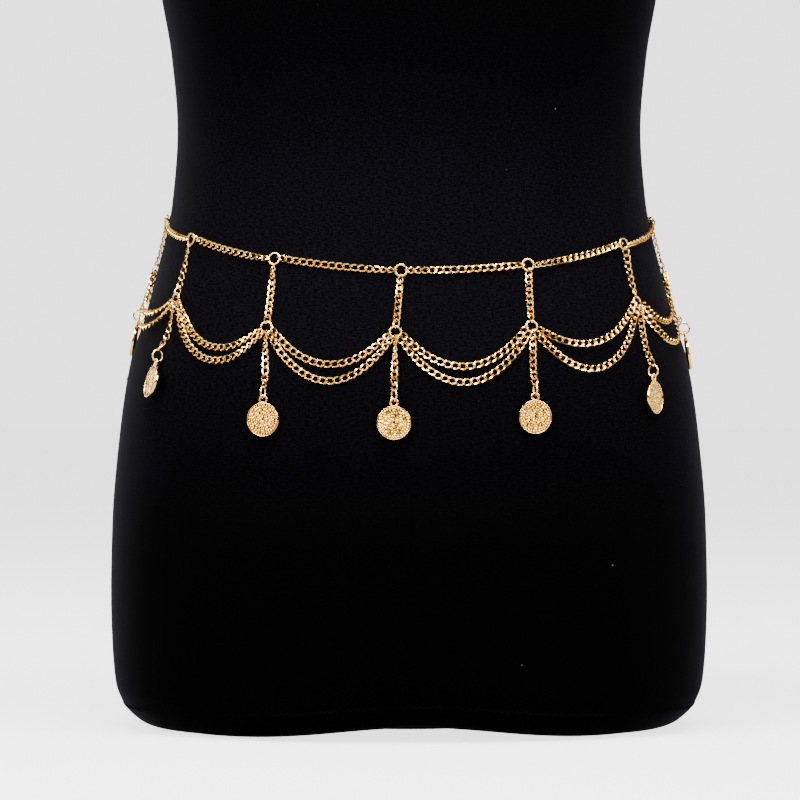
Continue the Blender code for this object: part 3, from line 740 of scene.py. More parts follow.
@dataclass(frozen=True)
class CurbChain:
    """Curb chain: oval links of round wire, each twisted so that the chain lies flat.

    A link's wire runs along x = A cos(p), y = B sin(p), both flattened by an exponent towards a long oval,
    and is turned about x by twist * x / A. So each end of a link crosses its neighbour's end squarely.
    """

    length: float = 5.75
    width: float = 4.05
    # The wire's whole thickness.
    wire: float = 0.8
    # Seen from outside, each link's lower side passes in front of the next one.
    twist: float = -48.0
    pitch: float = 3.9
    fullness: float = 0.94
    steps: int = 12
    sides: int = 5
    # From a jump ring's middle to the middle of the link that hooks through it.
    hook: float = 4.3
    # How far each link's roll strays, in degrees.
    jitter: float = 4.0
    # A strand lies below its route by the sink, but its links stay the gap off the form.
    gap: float = 0.25
    sink: float = 0.25
    # The share of its twisted sides' rise that a flat link takes up over the form.
    bulge: float = 0.55
    # The share of a pitch that a strand is stretched by before it takes one more link.
    slack: float = 0.02

    def link(self) -> np.ndarray:
        """One link about its own middle: points by step, side and axis."""
        half_length = (self.length - self.wire) / 2
        half_width = (self.width - self.wire) / 2
        turn = np.arange(self.steps) * 2 * math.pi / self.steps
        x = half_length * np.sign(np.cos(turn)) * np.abs(np.cos(turn)) ** self.fullness
        across = half_width * np.sign(np.sin(turn)) * np.abs(np.sin(turn)) ** self.fullness
        lay = math.radians(self.twist) * x / half_length
        path = np.stack([x, across * np.cos(lay), across * np.sin(lay)], axis=-1)
        outward = np.stack([np.cos(turn), np.sin(turn) * np.cos(lay), np.sin(turn) * np.sin(lay)], axis=-1)
        return tube(path, self.wire / 2, outward, self.sides, looped=True)

    def thickness(self, roll: np.ndarray) -> np.ndarray:
        """Half the depth that a link takes off the form when it is rolled: an ellipse's half height."""
        rise = (self.width - self.wire) / 2 * math.sin(math.radians(abs(self.twist)))
        flat = self.wire / 2 + rise * self.bulge
        return np.hypot(self.width / 2 * np.sin(roll), flat * np.cos(roll))

    def strand(self, form: Torso, route: np.ndarray, roll: Roll, draws: np.random.Generator) -> np.ndarray:
        """Lays links along a route, from the middle of the first link to the middle of the last.

        Each link stands on the form's outward normal turned by the roll, and is lifted where the roll makes
        it deeper.

        Args:
            form: The form's surface.
            route: Rows of girth, height and lift.
            roll: How the strand is rolled.
            draws: The chain's own random draws.

        Returns:
            Points by link, step, side and axis.
        """
        line = form.point(route[:, 0], route[:, 1], route[:, 2])
        run = run_of(line)
        count = max(2, math.ceil(run[-1] / self.pitch - self.slack) + 1)
        at = np.linspace(0.0, run[-1], count)
        girth, height, lift = (np.interp(at, run, route[:, c]) for c in range(3))
        along = unit(np.stack([np.interp(at, run, c) for c in np.gradient(line, run, axis=0).T], axis=-1))
        turn = roll.at(at / run[-1]) + np.radians(draws.uniform(-self.jitter, self.jitter, count))
        lift = np.maximum(lift - self.sink, self.thickness(turn) + self.gap)
        middle = form.point(girth, height, lift)
        _, normal, _, _ = form.frame(girth, height)
        across = unit(np.cross(normal, along))
        outward = np.cross(along, across)
        cosine, sine = np.cos(turn)[:, None], np.sin(turn)[:, None]
        axes = np.stack([along, across * cosine + outward * sine, outward * cosine - across * sine], axis=1)
        return middle[:, None, None] + np.einsum("sda,nab->nsdb", self.link(), axes)


@dataclass(frozen=True)
class JumpRing:
    """A ring of round wire with the fine slit where it was closed.

    Its wire runs on a circle about its axis, from just past the slit round to just before it.
    """

    radius: float
    # Half the wire's thickness.
    wire: float
    slit: float = 0.12
    steps: int = 30
    sides: int = 8

    def surface(self, centre: np.ndarray, axis: np.ndarray, slit_at: float) -> np.ndarray:
        """The ring's points by step, side and axis.

        Args:
            centre: Its middle.
            axis: Its axis.
            slit_at: Where the slit is, as an angle round the ring.

        Returns:
            The points.
        """
        axis = unit(axis)
        first = unit(np.cross(axis, UP if abs(axis[2]) < NEARLY_UP else np.array([1.0, 0.0, 0.0])))
        second = np.cross(axis, first)
        margin = self.slit / 2 / self.radius
        turn = slit_at + np.linspace(margin, 2 * math.pi - margin, self.steps)[:, None]
        out = np.cos(turn) * first + np.sin(turn) * second
        return tube(centre + out * self.radius, self.wire, out, self.sides, looped=False)


RING = JumpRing(radius=2.95, wire=0.55)
COIN_RING = JumpRing(radius=3.1, wire=0.5)
END_RING = JumpRing(radius=1.9, wire=0.5, steps=22)


@dataclass
class DressForm:
    """The limbless form: one padded body under a drawn jersey cover, hemmed round its lower edge."""

    form: Torso
    columns: int = 288
    # The rounded lower edge, drawn in from the section. It is tighter across the front and back.
    # columns: height, front_inset, side_inset
    base_edge: np.ndarray = field(default_factory=lambda: np.array(
        [(0.0, 10.0, 30.0), (1.6, 4.0, 18.0), (6.0, 1.6, 10.0), (13.0, 0.5, 4.0), (24.0, 0.0, 0.8),
         (45.0, 0.0, 0.0)]))
    edge_turn: float = 4.0
    # How many rows the lower edge, the neck's edge and the hem's fold have.
    base_rows: int = 28
    neck_rows: int = 14
    fold_rows: int = 7
    # The neck cap's rounded edge.
    # columns: height below the top, inset
    neck_edge: np.ndarray = field(default_factory=lambda: np.array(
        [(0.0, 9.0), (2.0, 3.5), (6.0, 0.8), (24.0, 0.0)]))
    under_shares: tuple[float, ...] = (0.02, 0.15, 0.3, 0.42, 0.55, 0.68, 0.8, 0.9)
    top_shares: tuple[float, ...] = (0.75, 0.5, 0.25, 0.02)
    arch_rise: float = 8.0
    arch_width: float = 62.0
    arch_shift: float = 5.0
    arch_depths: tuple[float, float] = (30.0, 110.0)
    arch_power: float = 0.8
    arch_fade: float = 60.0
    row_step: float = 4.4
    hem_height: float = 13.0
    hem_depth: float = 0.15
    fold_run: float = 2.0
    # The double cover thins out to nothing over this height, at the floor.
    hem_start: float = 4.0
    # Painted light: how much lighter the cover is painted at each height, highest round the hips, where it
    # faces up to the top light, and low towards the bottom.
    # columns: height, share
    painted_light: np.ndarray = field(default_factory=lambda: np.array(
        [(0.0, 0.1), (100.0, 0.1), (150.0, 0.4), (200.0, 0.8), (240.0, 1.0), (280.0, 0.8), (330.0, 0.5),
         (370.0, 0.3), (FORM_TOP, 0.3)]))
    # The hem's stitches: their length and width, how far they lie under its edge, and half the thread.
    stitch_long: float = 3.4
    stitch_wide: float = 1.5
    stitch_drop: float = 0.6
    thread: float = 0.16

    def heights(self) -> np.ndarray:
        """The heights of the wall's rows: close together in the rounded edges and over the hem's fold."""
        knots = np.arange(len(self.base_edge), dtype=float)
        base = smooth(np.linspace(0, knots[-1], self.base_rows), knots, self.base_edge[:, 0])
        knots = np.arange(len(self.neck_edge), dtype=float)
        neck = FORM_TOP - smooth(np.linspace(0, knots[-1], self.neck_rows), knots, self.neck_edge[:, 0])
        count = round((neck[-1] - base[-1]) / self.row_step)
        wall = np.linspace(base[-1], neck[-1], count)[1:-1]
        fold = self.hem_height + self.fold_run * np.linspace(-1, 1, self.fold_rows)
        rows = np.concatenate([base, wall, neck])
        rows = rows[np.abs(rows[:, None] - fold).min(axis=1) > self.fold_run / 4]
        return np.sort(np.concatenate([rows, fold]))

    def wall(self, angle: np.ndarray, height: np.ndarray, proud: np.ndarray | float = 0.0) -> np.ndarray:
        """Points of the cover's wall: the section, drawn in at both edges and arched in front.

        The lower edge's inset turns from the front's to the side's with |sin angle|^edge_turn. The arch is
        rise * exp(-(x / width)^2), and fades upward and under the form.

        Args:
            angle: Angles from the middle of the front.
            height: Heights.
            proud: How far the points stand off the wall.

        Returns:
            The points.
        """
        front, side = (smooth(height, self.base_edge[:, 0], self.base_edge[:, c]) for c in (1, 2))
        inset = front + (side - front) * np.abs(np.sin(angle)) ** self.edge_turn
        inset = inset + smooth(FORM_TOP - height, self.neck_edge[:, 0], self.neck_edge[:, 1])
        return self.arched(self.form.section(angle, height, inset - proud))

    def arched(self, points: np.ndarray) -> np.ndarray:
        """Raises points by the arch in the front of the lower edge."""
        across = np.exp(-(((points[..., 0] - self.arch_shift) / self.arch_width) ** 2))
        start, full = self.arch_depths
        under = np.clip((MIDDLE - points[..., 1] - start) / (full - start), 0, 1) ** self.arch_power
        rise = self.arch_rise * across * under * np.clip(1 - points[..., 2] / self.arch_fade, 0, 1)
        return points + rise[..., None] * UP

    def build(self, knit: bpy.types.Material) -> None:
        """Builds the cover and the hem's stitching."""
        angles = np.interp(np.arange(self.columns) * self.form.full_girth / self.columns, self.form.girths,
                           self.form.angles)
        height, angle = np.meshgrid(self.heights(), angles, indexing="ij")
        # Below the hem's edge the cover lies double.
        proud = self.hem_depth * smooth_step((self.hem_height - height) / (2 * self.fold_run) + 0.5)
        proud = proud * smooth_step(height / self.hem_start)
        points = self.wall(angle, height, proud)
        middle = np.array([0.0, MIDDLE, 0.0])
        front, side = self.base_edge[0, 1:]
        inset = front + (side - front) * np.abs(np.sin(angles)) ** self.edge_turn
        outline = self.form.section(angles, np.zeros_like(angles), inset)
        under = self.arched(np.stack([middle + (outline - middle) * share for share in self.under_shares]))
        top = np.array([0.0, MIDDLE, FORM_TOP])
        over = np.stack([top + (points[-1] - top) * share for share in self.top_shares])
        cover = Surface()
        grid = np.concatenate([under, points, over])
        # Each point's painted light, read from its height.
        painted_light = np.interp(grid[..., 2], self.painted_light[:, 0], self.painted_light[:, 1])
        spacing = (self.row_step * MM, self.form.full_girth / self.columns * MM)
        cover.add_grid(grid, (False, True), spacing, capped=True, level=painted_light)
        self.lay_map(cover, grid)
        dress(cover.build("form_cover", knit, pattern="knit", level="painted_light"), ROOT, Slot.COVER, "form")
        self.build_stitching(knit)

    def lay_map(self, cover: Surface, grid: np.ndarray) -> None:
        """Replaces the map's even rows by the real distance up the form, read at the middle of the front."""
        run = run_of(grid[:, 0]) * MM
        rows = grid.shape[0] - 1
        low, high = run[:-1], run[1:]
        by_row = np.stack([low, low, high, high], axis=-1)
        cover.corner_maps[0][:, 1] = np.repeat(by_row, self.columns, axis=0).reshape(rows, -1, 4).ravel()

    def build_stitching(self, knit: bpy.types.Material) -> None:
        """Builds the hem's zigzag thread: a triangle wave round the form, just under the hem's edge."""
        count = 2 * round(self.form.full_girth / self.stitch_long)
        girth = np.arange(count) * self.form.full_girth / count
        side = np.where(np.arange(count) % 2, 1.0, -1.0)
        height = self.hem_height + self.stitch_wide / 2 * side - self.stitch_drop
        angle = np.interp(girth, self.form.girths, self.form.angles)
        points = self.wall(angle, height, self.hem_depth + self.thread / 2)
        out = unit(points * np.array([1.0, 1.0, 0.0]))
        stitching = Surface()
        stitching.add_grid(tube(points, self.thread, out, 4, looped=True), (True, True))
        dress(stitching.build("hem_stitching", knit, pattern="knit", level="painted_light"), ROOT, Slot.COVER)


@dataclass
class Strung:
    """What every length of chain is laid with: the form, the chain, its random draws and its material."""

    form: Torso
    chain: CurbChain
    draws: np.random.Generator
    gold: bpy.types.Material

    def add_links(self, piece: Surface, route: np.ndarray, roll: Roll) -> None:
        """Adds the links along a route to a piece."""
        piece.add_grid(self.chain.strand(self.form, route, roll, self.draws), (True, True))

    def build_length(self, name: str, node: str, route: np.ndarray, roll: Roll) -> None:
        """Builds one length of chain as a piece of its own.

        Args:
            name: The piece's name.
            node: The solid that it stands for.
            route: Rows of girth, height and lift.
            roll: How it is rolled.
        """
        links = Surface()
        self.add_links(links, route, roll)
        dress(links.build(name, self.gold), ROOT, Slot.GOLD, node)


@dataclass
class WaistLine(Strung):
    """The length of chain between each two neighbouring stations, along the waist."""

    stations: list[Station]

    def build(self) -> None:
        """Builds each length, from ring to ring."""
        for here, there in zip(self.stations, self.stations[1:]):
            start = self.form.leave(here.top, 0.0, self.chain.hook)
            end = self.form.leave(there.top, math.pi, self.chain.hook)
            route = straight(start, end, sag=WAIST_SAG)
            self.build_length(f"waist_links_{here.name}", f"waist_{here.name}", route, self.roll(here))

    def roll(self, here: Station) -> Roll:
        """Right of the middle a length starts rolled, and left of it a length ends rolled."""
        if here.top.girth > ROLL_CHANGE:
            return Roll(start=54.0, end=-40.0, start_fade=0.4, end_fade=0.1)
        return Roll(start=40.0, end=-50.0, start_fade=0.1, end_fade=0.35)


@dataclass
class Swags(Strung):
    """The two lengths of chain that hang between each two neighbouring lower rings."""

    stations: list[Station]

    def build(self) -> None:
        """Builds each pair."""
        leaves = {Hang.UPPER: UPPER_LEAVES, Hang.LOWER: LOWER_LEAVES}
        for here, there, (upper, lower, swell) in zip(self.stations, self.stations[1:], SWAGS):
            for hang, lowest in ((Hang.UPPER, upper), (Hang.LOWER, lower)):
                start = self.form.leave(here.lower, leaves[hang], self.chain.hook)
                end = self.form.leave(there.lower, math.pi - leaves[hang], self.chain.hook)
                sag = (start.height + end.height) / 2 - lowest
                route = straight(start, end, sag=sag, swell=swell)
                span = f"{hang.value}_{here.name}"
                self.build_length(f"swag_links_{span}", f"swag_{span}", route, self.roll(here))

    def roll(self, here: Station) -> Roll:
        """Right of the middle a swag starts rolled, and left of it a swag ends rolled."""
        if here.top.girth > ROLL_CHANGE:
            return Roll(start=50.0, end=-40.0, start_fade=0.42, end_fade=0.16)
        return Roll(start=40.0, end=-50.0, start_fade=0.16, end_fade=0.42)


@dataclass
class Hanger(Strung):
    """One hanger: top ring, drop, lower ring, pendant and the coin's small ring."""

    station: Station
    # How far the two large rings tip, in degrees.
    tip: float = 5.0
    # How much further up than its hook the pendant ends over the coin's ring.
    play: float = 0.2

    def coin_frame(self) -> tuple[np.ndarray, ...]:
        """The middle of the coin's small ring, and the coin's level outward, rightward and up directions."""
        place = self.station.coin
        middle = self.form.point(place.girth, place.height, COIN_RING_LIFT)
        _, _, right, _ = self.form.frame(place.girth, place.height)
        right = turned(right, self.station.coin_turn)
        return middle, unit(np.cross(right, UP)), right, UP

    def ring_axis(self, place: Place) -> np.ndarray:
        """The form's outward normal, tipped a little as a hanging ring is."""
        _, normal, right, up = self.form.frame(place.girth, place.height)
        tip = np.radians(self.draws.uniform(-self.tip, self.tip, 2))
        return unit(normal + right * tip[0] + up * tip[1])

    def build(self) -> None:
        """Builds the hanger as one piece."""
        here = self.station
        piece = Surface()
        for place in (here.top, here.lower):
            centre = self.form.point(place.girth, place.height, CHAIN_LIFT)
            ring = RING.surface(centre, self.ring_axis(place), self.draws.uniform(0, 2 * math.pi))
            piece.add_grid(ring, (False, True), capped=True)
        middle, _, _, _ = self.coin_frame()
        _, _, right, _ = self.form.frame(here.coin.girth, here.coin.height)
        ring = COIN_RING.surface(middle, turned(right, here.ring_turn), self.draws.uniform(0, 2 * math.pi))
        piece.add_grid(ring, (False, True), capped=True)
        down = math.atan2(here.lower.height - here.top.height, here.lower.girth - here.top.girth)
        drop = straight(self.form.leave(here.top, down, self.chain.hook),
                        self.form.leave(here.lower, down + math.pi, self.chain.hook))
        self.add_links(piece, drop, self.drop_roll())
        down = math.atan2(here.coin.height - here.lower.height, here.coin.girth - here.lower.girth)
        start = self.form.leave(here.lower, down, self.chain.hook)
        end = Place(here.coin.girth, here.coin.height + self.chain.hook + self.play)
        self.add_links(piece, straight(start, end, (CHAIN_LIFT, COIN_RING_LIFT)), self.pendant_roll())
        dress(piece.build(f"hanger_links_{here.name}", self.gold), ROOT, Slot.GOLD, f"hanger_{here.name}")

    def drop_roll(self) -> Roll:
        """Drops at the form's sides and back lie flat but for their ends, and the others from their half."""
        if abs(self.station.top.girth) > SIDE_GIRTH:
            return Roll(start=20.0, end=-20.0, start_fade=0.2, end_fade=0.15)
        return Roll(start=45.0, end=-30.0, start_fade=0.5, end_fade=0.2)

    def pendant_roll(self) -> Roll:
        """The middle pendant is rolled nearly to its end, and the others to a little past their half."""
        if self.station.name == "04":
            return Roll(start=82.0, end=30.0, start_fade=0.9, end_fade=0.2)
        return Roll(start=56.0, end=30.0, start_fade=0.6, end_fade=0.25)


@dataclass
class Coin:
    """A stamped coin with its eye, hanging on its small ring.

    Its relief is a thin raised rim, a ring of short radial beads and rings of uneven grains.
    """

    radius: float = 8.6
    rim_half: float = 0.7
    rim: float = 0.42
    # The rim's profile, outward.
    # columns: share of the rim's width, drop below its top
    rim_profile: np.ndarray = field(default_factory=lambda: np.array(
        [(0.1, 0.08), (0.35, 0.0), (0.6, 0.0), (0.8, 0.04), (0.95, 0.12), (1.0, 0.25)]))
    rim_gap: float = 0.06
    rim_tone: float = 0.9
    floor_half: float = 0.26
    relief: float = 0.5
    bead_ring: float = 7.4
    bead_size: tuple[float, float] = (0.72, 0.55)
    beads: int = 32
    grain_ring: float = 6.1
    grain_step: float = 1.24
    grain: float = 0.66
    # A ring of grains is turned by up to this, in radians.
    ring_turn: float = 6.0
    # A grain strays by up to this, along its ring and across it.
    grain_stray: float = 0.3
    # Grains nearer the middle than this stray as if they lay here.
    stray_from: float = 0.5
    grain_sizes: tuple[float, float] = (0.8, 1.3)
    grain_tops: tuple[float, float] = (0.4, 1.0)
    buffing: tuple[float, float] = (0.35, 1.7)
    seed: int = 11
    # The eye: its radius, half its wire's thickness, and how far it is sunk into the coin's edge.
    eye_radius: float = 1.85
    eye_wire: float = 0.55
    eye_sink: float = 0.2
    eye_tone: float = 0.85
    eye_steps: int = 32
    eye_sides: int = 10
    gap: float = 0.3
    columns: int = 180
    rows: int = 40
    # The faces' middles are closed by a cap of this radius.
    cap: float = 0.05
    # The search for a coin's lean: its limits in radians, its halvings and its points round the rim.
    lean_limits: tuple[float, float] = (-0.3, 0.6)
    lean_halvings: int = 30
    lean_points: int = 24

    def drops(self) -> tuple[float, float]:
        """How far the eye and the disc hang under the middle of the small ring."""
        eye = COIN_RING.radius - COIN_RING.wire - self.gap - self.eye_wire + self.eye_radius
        return eye, eye + self.radius + self.eye_radius - self.eye_sink

    def stamp(self, x: np.ndarray, z: np.ndarray) -> tuple[np.ndarray, np.ndarray]:
        """The relief's height over the field, from 0 in its hollows to 1 on its tops.

        Each bead and grain is a dome, 1 - (distance / size)^2, and the highest one counts. Beads are longer
        along the radius. Grains lie on rings about one step apart, each one moved a little. A grain's tone is
        its height times its own share of buffing, so some grains stay darker than their neighbours. The tone
        is 0 in the hollows, which the material paints in its dark colour as painted shade.

        Args:
            x: Places across the coin.
            z: Places up the coin.

        Returns:
            The heights and the tones.
        """
        draws = np.random.default_rng(self.seed)
        radius, angle = np.hypot(x, z), np.arctan2(z, x)
        off = np.mod(angle * self.beads / (2 * math.pi), 1.0) - 0.5
        aside = off * 2 * math.pi / self.beads * radius / self.bead_size[1]
        relief = np.clip(1 - aside**2 - ((radius - self.bead_ring) / self.bead_size[0]) ** 2, 0, 1)
        rings = np.arange(self.grain_ring, 0, -self.grain_step)
        counts = np.maximum(1, np.round(2 * math.pi * rings / self.grain_step)).astype(int)
        far = np.repeat(rings, counts)
        place = np.arange(counts.sum()) - np.repeat(np.cumsum(counts) - counts, counts)
        ring_turn = np.repeat(draws.uniform(0, self.ring_turn, len(rings)), counts)
        turn = 2 * math.pi * place / np.repeat(counts, counts) + ring_turn
        stray = self.grain_stray
        far = far + draws.uniform(-stray, stray, len(far))
        turn = turn + draws.uniform(-stray, stray, len(far)) / np.maximum(far, self.stray_from)
        size = self.grain * draws.uniform(*self.grain_sizes, len(far))
        top = draws.uniform(*self.grain_tops, len(far))
        distance = np.hypot(x[..., None] - far * np.cos(turn), z[..., None] - far * np.sin(turn)) / size
        buffed = draws.uniform(*self.buffing, len(far))
        domes = top * np.clip(1 - distance**2, 0, 1)
        grains = domes.max(axis=-1)
        tone = grains * buffed[domes.argmax(axis=-1)]
        return np.maximum(relief, grains), np.where(relief > grains, relief, tone)

    def face(self, outward: float) -> tuple[np.ndarray, np.ndarray]:
        """One face from its middle to its edge: a flat field with its relief, then the rounded rim.

        Args:
            outward: -1 for the front, which faces -Y, and 1 for the back.

        Returns:
            The points by row, column and axis, and each point's tone.
        """
        field_edge = self.radius - self.rim
        inner = np.linspace(self.cap, field_edge - self.rim_gap, self.rows)
        rings = np.concatenate([inner, field_edge + self.rim * self.rim_profile[:, 0]])
        turn = np.arange(self.columns) * 2 * math.pi / self.columns
        x = rings[:, None] * np.cos(turn)
        z = rings[:, None] * np.sin(turn)
        level, tone = self.stamp(x, z)
        tone[self.rows:] = self.rim_tone
        deep = self.floor_half + self.relief * level
        deep[self.rows:] = (self.rim_half - self.rim_profile[:, 1])[:, None]
        return np.stack([x, outward * deep, z], axis=-1), tone

    def surface(self) -> Surface:
        """The coin about the middle of its small ring, hanging straight down."""
        eye_drop, disc_drop = self.drops()
        front, front_tone = self.face(-1.0)
        back, back_tone = self.face(1.0)
        disc = np.concatenate([front, back[::-1]]) - UP * disc_drop
        coin = Surface()
        tone = np.concatenate([front_tone, back_tone[::-1]])
        coin.add_grid(disc[:, ::-1], (False, True), capped=True, level=tone[:, ::-1])
        turn = np.arange(self.eye_steps)[:, None] * 2 * math.pi / self.eye_steps
        out = np.concatenate([np.cos(turn), np.zeros_like(turn), np.sin(turn)], axis=1)
        eye = tube(out * self.eye_radius - UP * eye_drop, self.eye_wire, out, self.eye_sides, looped=True)
        coin.add_grid(eye, (True, True), level=np.full(eye.shape[:2], self.eye_tone))
        return coin

    def lean(self, hanger: Hanger) -> float:
        """How far a coin can lean until its back comes to the gap from the form, by halving.

        It is negative where the form holds the coin out of plumb.
        """
        middle, out, right, up = hanger.coin_frame()
        turn = np.linspace(0, 2 * math.pi, self.lean_points, endpoint=False)[:, None]
        eye_drop, disc_drop = self.drops()
        axis = np.array([0.0, MIDDLE, 0.0])
        low, high = self.lean_limits
        for _ in range(self.lean_halvings):
            lean = (low + high) / 2
            down = -up * math.cos(lean) - out * math.sin(lean)
            face = np.cross(right, down)
            circle = np.cos(turn) * right + np.sin(turn) * down
            rim = self.radius * circle + face * self.rim_half
            eye = (self.eye_radius + self.eye_wire) * circle
            tested = np.concatenate([middle + disc_drop * down + rim, middle + eye_drop * down + eye
                                     + face * self.eye_wire])
            level = tested - axis
            angle = np.arctan2(level[:, 0], -level[:, 1])
            wall = hanger.form.section(angle, tested[:, 2]) - axis
            clear = np.linalg.norm(level[:, :2], axis=1) - np.linalg.norm(wall[:, :2], axis=1)
            if clear.min() > self.gap:
                low = lean
            else:
                high = lean
        return low

    def build(self, hanger: Hanger, gold: bpy.types.Material) -> None:
        """Builds a coin on its hanger, turned to face out and leant as it hangs."""
        middle, out, _, _ = hanger.coin_frame()
        lean = min(self.lean(hanger), -math.radians(hanger.station.lean))
        facing = math.atan2(out[0], -out[1])
        about_z = np.array([(math.cos(facing), -math.sin(facing), 0), (math.sin(facing), math.cos(facing), 0),
                            (0, 0, 1)])
        about_x = np.array([(1, 0, 0), (0, math.cos(lean), -math.sin(lean)),
                            (0, math.sin(lean), math.cos(lean))])
        coin = self.surface()
        coin.points = [points @ (about_z @ about_x).T + middle for points in coin.points]
        name = hanger.station.name
        piece = coin.build(f"stamped_coin_{name}", gold, level="tone")
        dress(piece, f"coin_{name}", Slot.GOLD, f"coin_{name}")


@dataclass
class Closure(Strung):
    """The end of the waist line with its clasp, and the extension chain that the clasp catches."""

    last: Station
    tail: Place = Place(563.5, 276.6)
    gap: float = 0.3
    # The clasp hangs down from level by this, in radians.
    droop: float = 0.06
    clasp_length: float = 13.5
    clasp_width: float = 6.2
    # Half the thickness of the clasp's wire, and how much further off the form than that and the gap it lies.
    clasp_wire: float = 0.85
    clasp_lift: float = 0.4
    # The clasp's eye is wider at its tip by this share, and its wire is thicker at its root.
    clasp_flare: float = 0.18
    clasp_taper: tuple[float, float] = (0.95, 0.2)
    # The wire's guide is drawn in along the clasp by this share, as its eye is long.
    clasp_guide: float = 0.6
    clasp_steps: int = 40
    clasp_sides: int = 10
    bar_sides: int = 8
    # The lever: where it starts and how far it runs, in half lengths, how far aside it lies, in half widths,
    # how far it bows, and how thick its ends are and how much its middle adds.
    lever_run: tuple[float, float] = (0.75, 1.3)
    lever_aside: float = 0.62
    lever_bow: float = 0.5
    lever_thick: tuple[float, float] = (0.5, 0.25)
    lever_steps: int = 12
    tab_length: float = 2.1
    tab_thick: tuple[float, float] = (0.42, 0.25)
    tab_steps: int = 7
    # The lug at the clasp's root, as a ring and half its wire's thickness.
    lug_radius: float = 1.5
    lug_wire: float = 0.5
    # Where the lug's and the end ring's slits are, in radians round them.
    lug_slit: float = 0.4
    end_slit: float = 2.0
    # How far the lug reaches into the clasp's root, and the last link into the lug.
    lug_sink: float = 0.2
    lug_reach: float = 0.6
    # How far the caught link stands beyond the clasp's tip and off it.
    caught_beyond: float = 1.05
    caught_lift: float = 0.2
    # How far the end ring's top stands above the route's end.
    end_sink: float = 0.3
    # The extension's links start and end this share of a knot's step inside the route.
    route_margin: float = 0.12
    route_steps: int = 240

    def build(self) -> None:
        """Builds the three pieces."""
        start = self.form.leave(self.last.top, 0.0, self.chain.hook)
        reach = self.lug_radius - self.lug_wire + self.chain.length / 2 - self.lug_reach
        end = self.form.leave(self.tail, math.pi, reach)
        roll = Roll(start=45.0, end=-40.0, start_fade=0.2, end_fade=0.1)
        self.build_length("waist_links_11", "waist_11", straight(start, end, sag=CLOSURE_SAG), roll)
        self.build_clasp()
        self.build_extension()

    def clasp_axes(self) -> tuple[np.ndarray, ...]:
        """The lug's middle, and the directions off the form, along the clasp and across it."""
        centre, normal, right, up = self.form.frame(self.tail.girth, self.tail.height)
        along = right * math.cos(self.droop) - up * math.sin(self.droop)
        lift = self.clasp_wire + self.gap + self.clasp_lift
        return centre + normal * lift, normal, along, np.cross(normal, along)

    def build_clasp(self) -> None:
        """Builds the clasp: a long eye of wire, thicker at its root, its lever with a thumb tab, and the lug.

        The eye's wire runs on an ellipse that is wider towards its tip.
        """
        centre, normal, along, over = self.clasp_axes()
        half = self.clasp_length / 2 - self.clasp_wire
        middle = centre + along * (half + self.clasp_wire + self.lug_radius - self.lug_sink)
        turn = np.arange(self.clasp_steps)[:, None] * 2 * math.pi / self.clasp_steps
        wide = (self.clasp_width / 2 - self.clasp_wire) * (1 + self.clasp_flare * np.cos(turn))
        path = middle + along * half * np.cos(turn) + over * wide * np.sin(turn)
        out = unit(along * np.cos(turn) * self.clasp_guide + over * np.sin(turn))
        thick = self.clasp_wire * (self.clasp_taper[0] - self.clasp_taper[1] * np.cos(turn[:, 0]))
        clasp = Surface()
        clasp.add_grid(tube(path, thick, out, self.clasp_sides, looped=True), (True, True))
        t = np.linspace(0, 1, self.lever_steps)[:, None]
        aside = wide[0] * self.lever_aside - self.lever_bow * (t - 0.5) ** 2
        lever = middle + along * half * (self.lever_run[0] - self.lever_run[1] * t) - over * aside
        thick = self.lever_thick[0] + self.lever_thick[1] * np.sin(math.pi * t[:, 0])
        clasp.add_grid(tube(lever, thick, normal, self.bar_sides, looped=False), (False, True), capped=True)
        t = np.linspace(0, 1, self.tab_steps)
        tab = lever[self.lever_steps // 2] - over * np.linspace(0.0, self.tab_length, self.tab_steps)[:, None]
        thick = self.tab_thick[0] + self.tab_thick[1] * t**2
        clasp.add_grid(tube(tab, thick, along, self.bar_sides, looped=False), (False, True), capped=True)
        lug = JumpRing(self.lug_radius, self.lug_wire, steps=END_RING.steps)
        clasp.add_grid(lug.surface(centre, normal, self.lug_slit), (False, True), capped=True)
        dress(clasp.build("lobster_clasp", self.gold), ROOT, Slot.GOLD, "clasp")

    def build_extension(self) -> None:
        """Builds the extension: its links, the link that the clasp holds, and the small ring on its end."""
        extension = Surface()
        roll = Roll(start=45.0, end=-40.0, start_fade=0.06, end_fade=0.05)
        self.add_links(extension, self.smooth_route(), roll)
        centre, normal, along, over = self.clasp_axes()
        length = self.clasp_length - self.clasp_wire * 2 + self.clasp_wire + self.lug_radius - self.lug_sink
        tip = centre + along * length
        caught = self.chain.link() @ np.stack([along, normal, -over]) + tip
        caught = caught + along * self.caught_beyond + normal * self.caught_lift
        extension.add_grid(caught, (True, True))
        bottom = Place(EXTENSION_ROUTE[-1, 0], EXTENSION_ROUTE[-1, 1] - END_RING.radius + self.end_sink)
        _, normal, _, _ = self.form.frame(bottom.girth, bottom.height)
        middle = self.form.point(bottom.girth, bottom.height, CHAIN_LIFT)
        extension.add_grid(END_RING.surface(middle, normal, self.end_slit), (False, True), capped=True)
        dress(extension.build("extension_links", self.gold), ROOT, Slot.GOLD, "extension")

    def smooth_route(self) -> np.ndarray:
        """The extension's route, read finely from a smooth curve through its points."""
        knots = np.arange(len(EXTENSION_ROUTE), dtype=float)
        t = np.linspace(self.route_margin, knots[-1] - self.route_margin, self.route_steps)
        girth = smooth(t, knots, EXTENSION_ROUTE[:, 0])
        height = smooth(t, knots, EXTENSION_ROUTE[:, 1])
        return np.stack([girth, height, np.full_like(t, CHAIN_LIFT)], axis=-1)


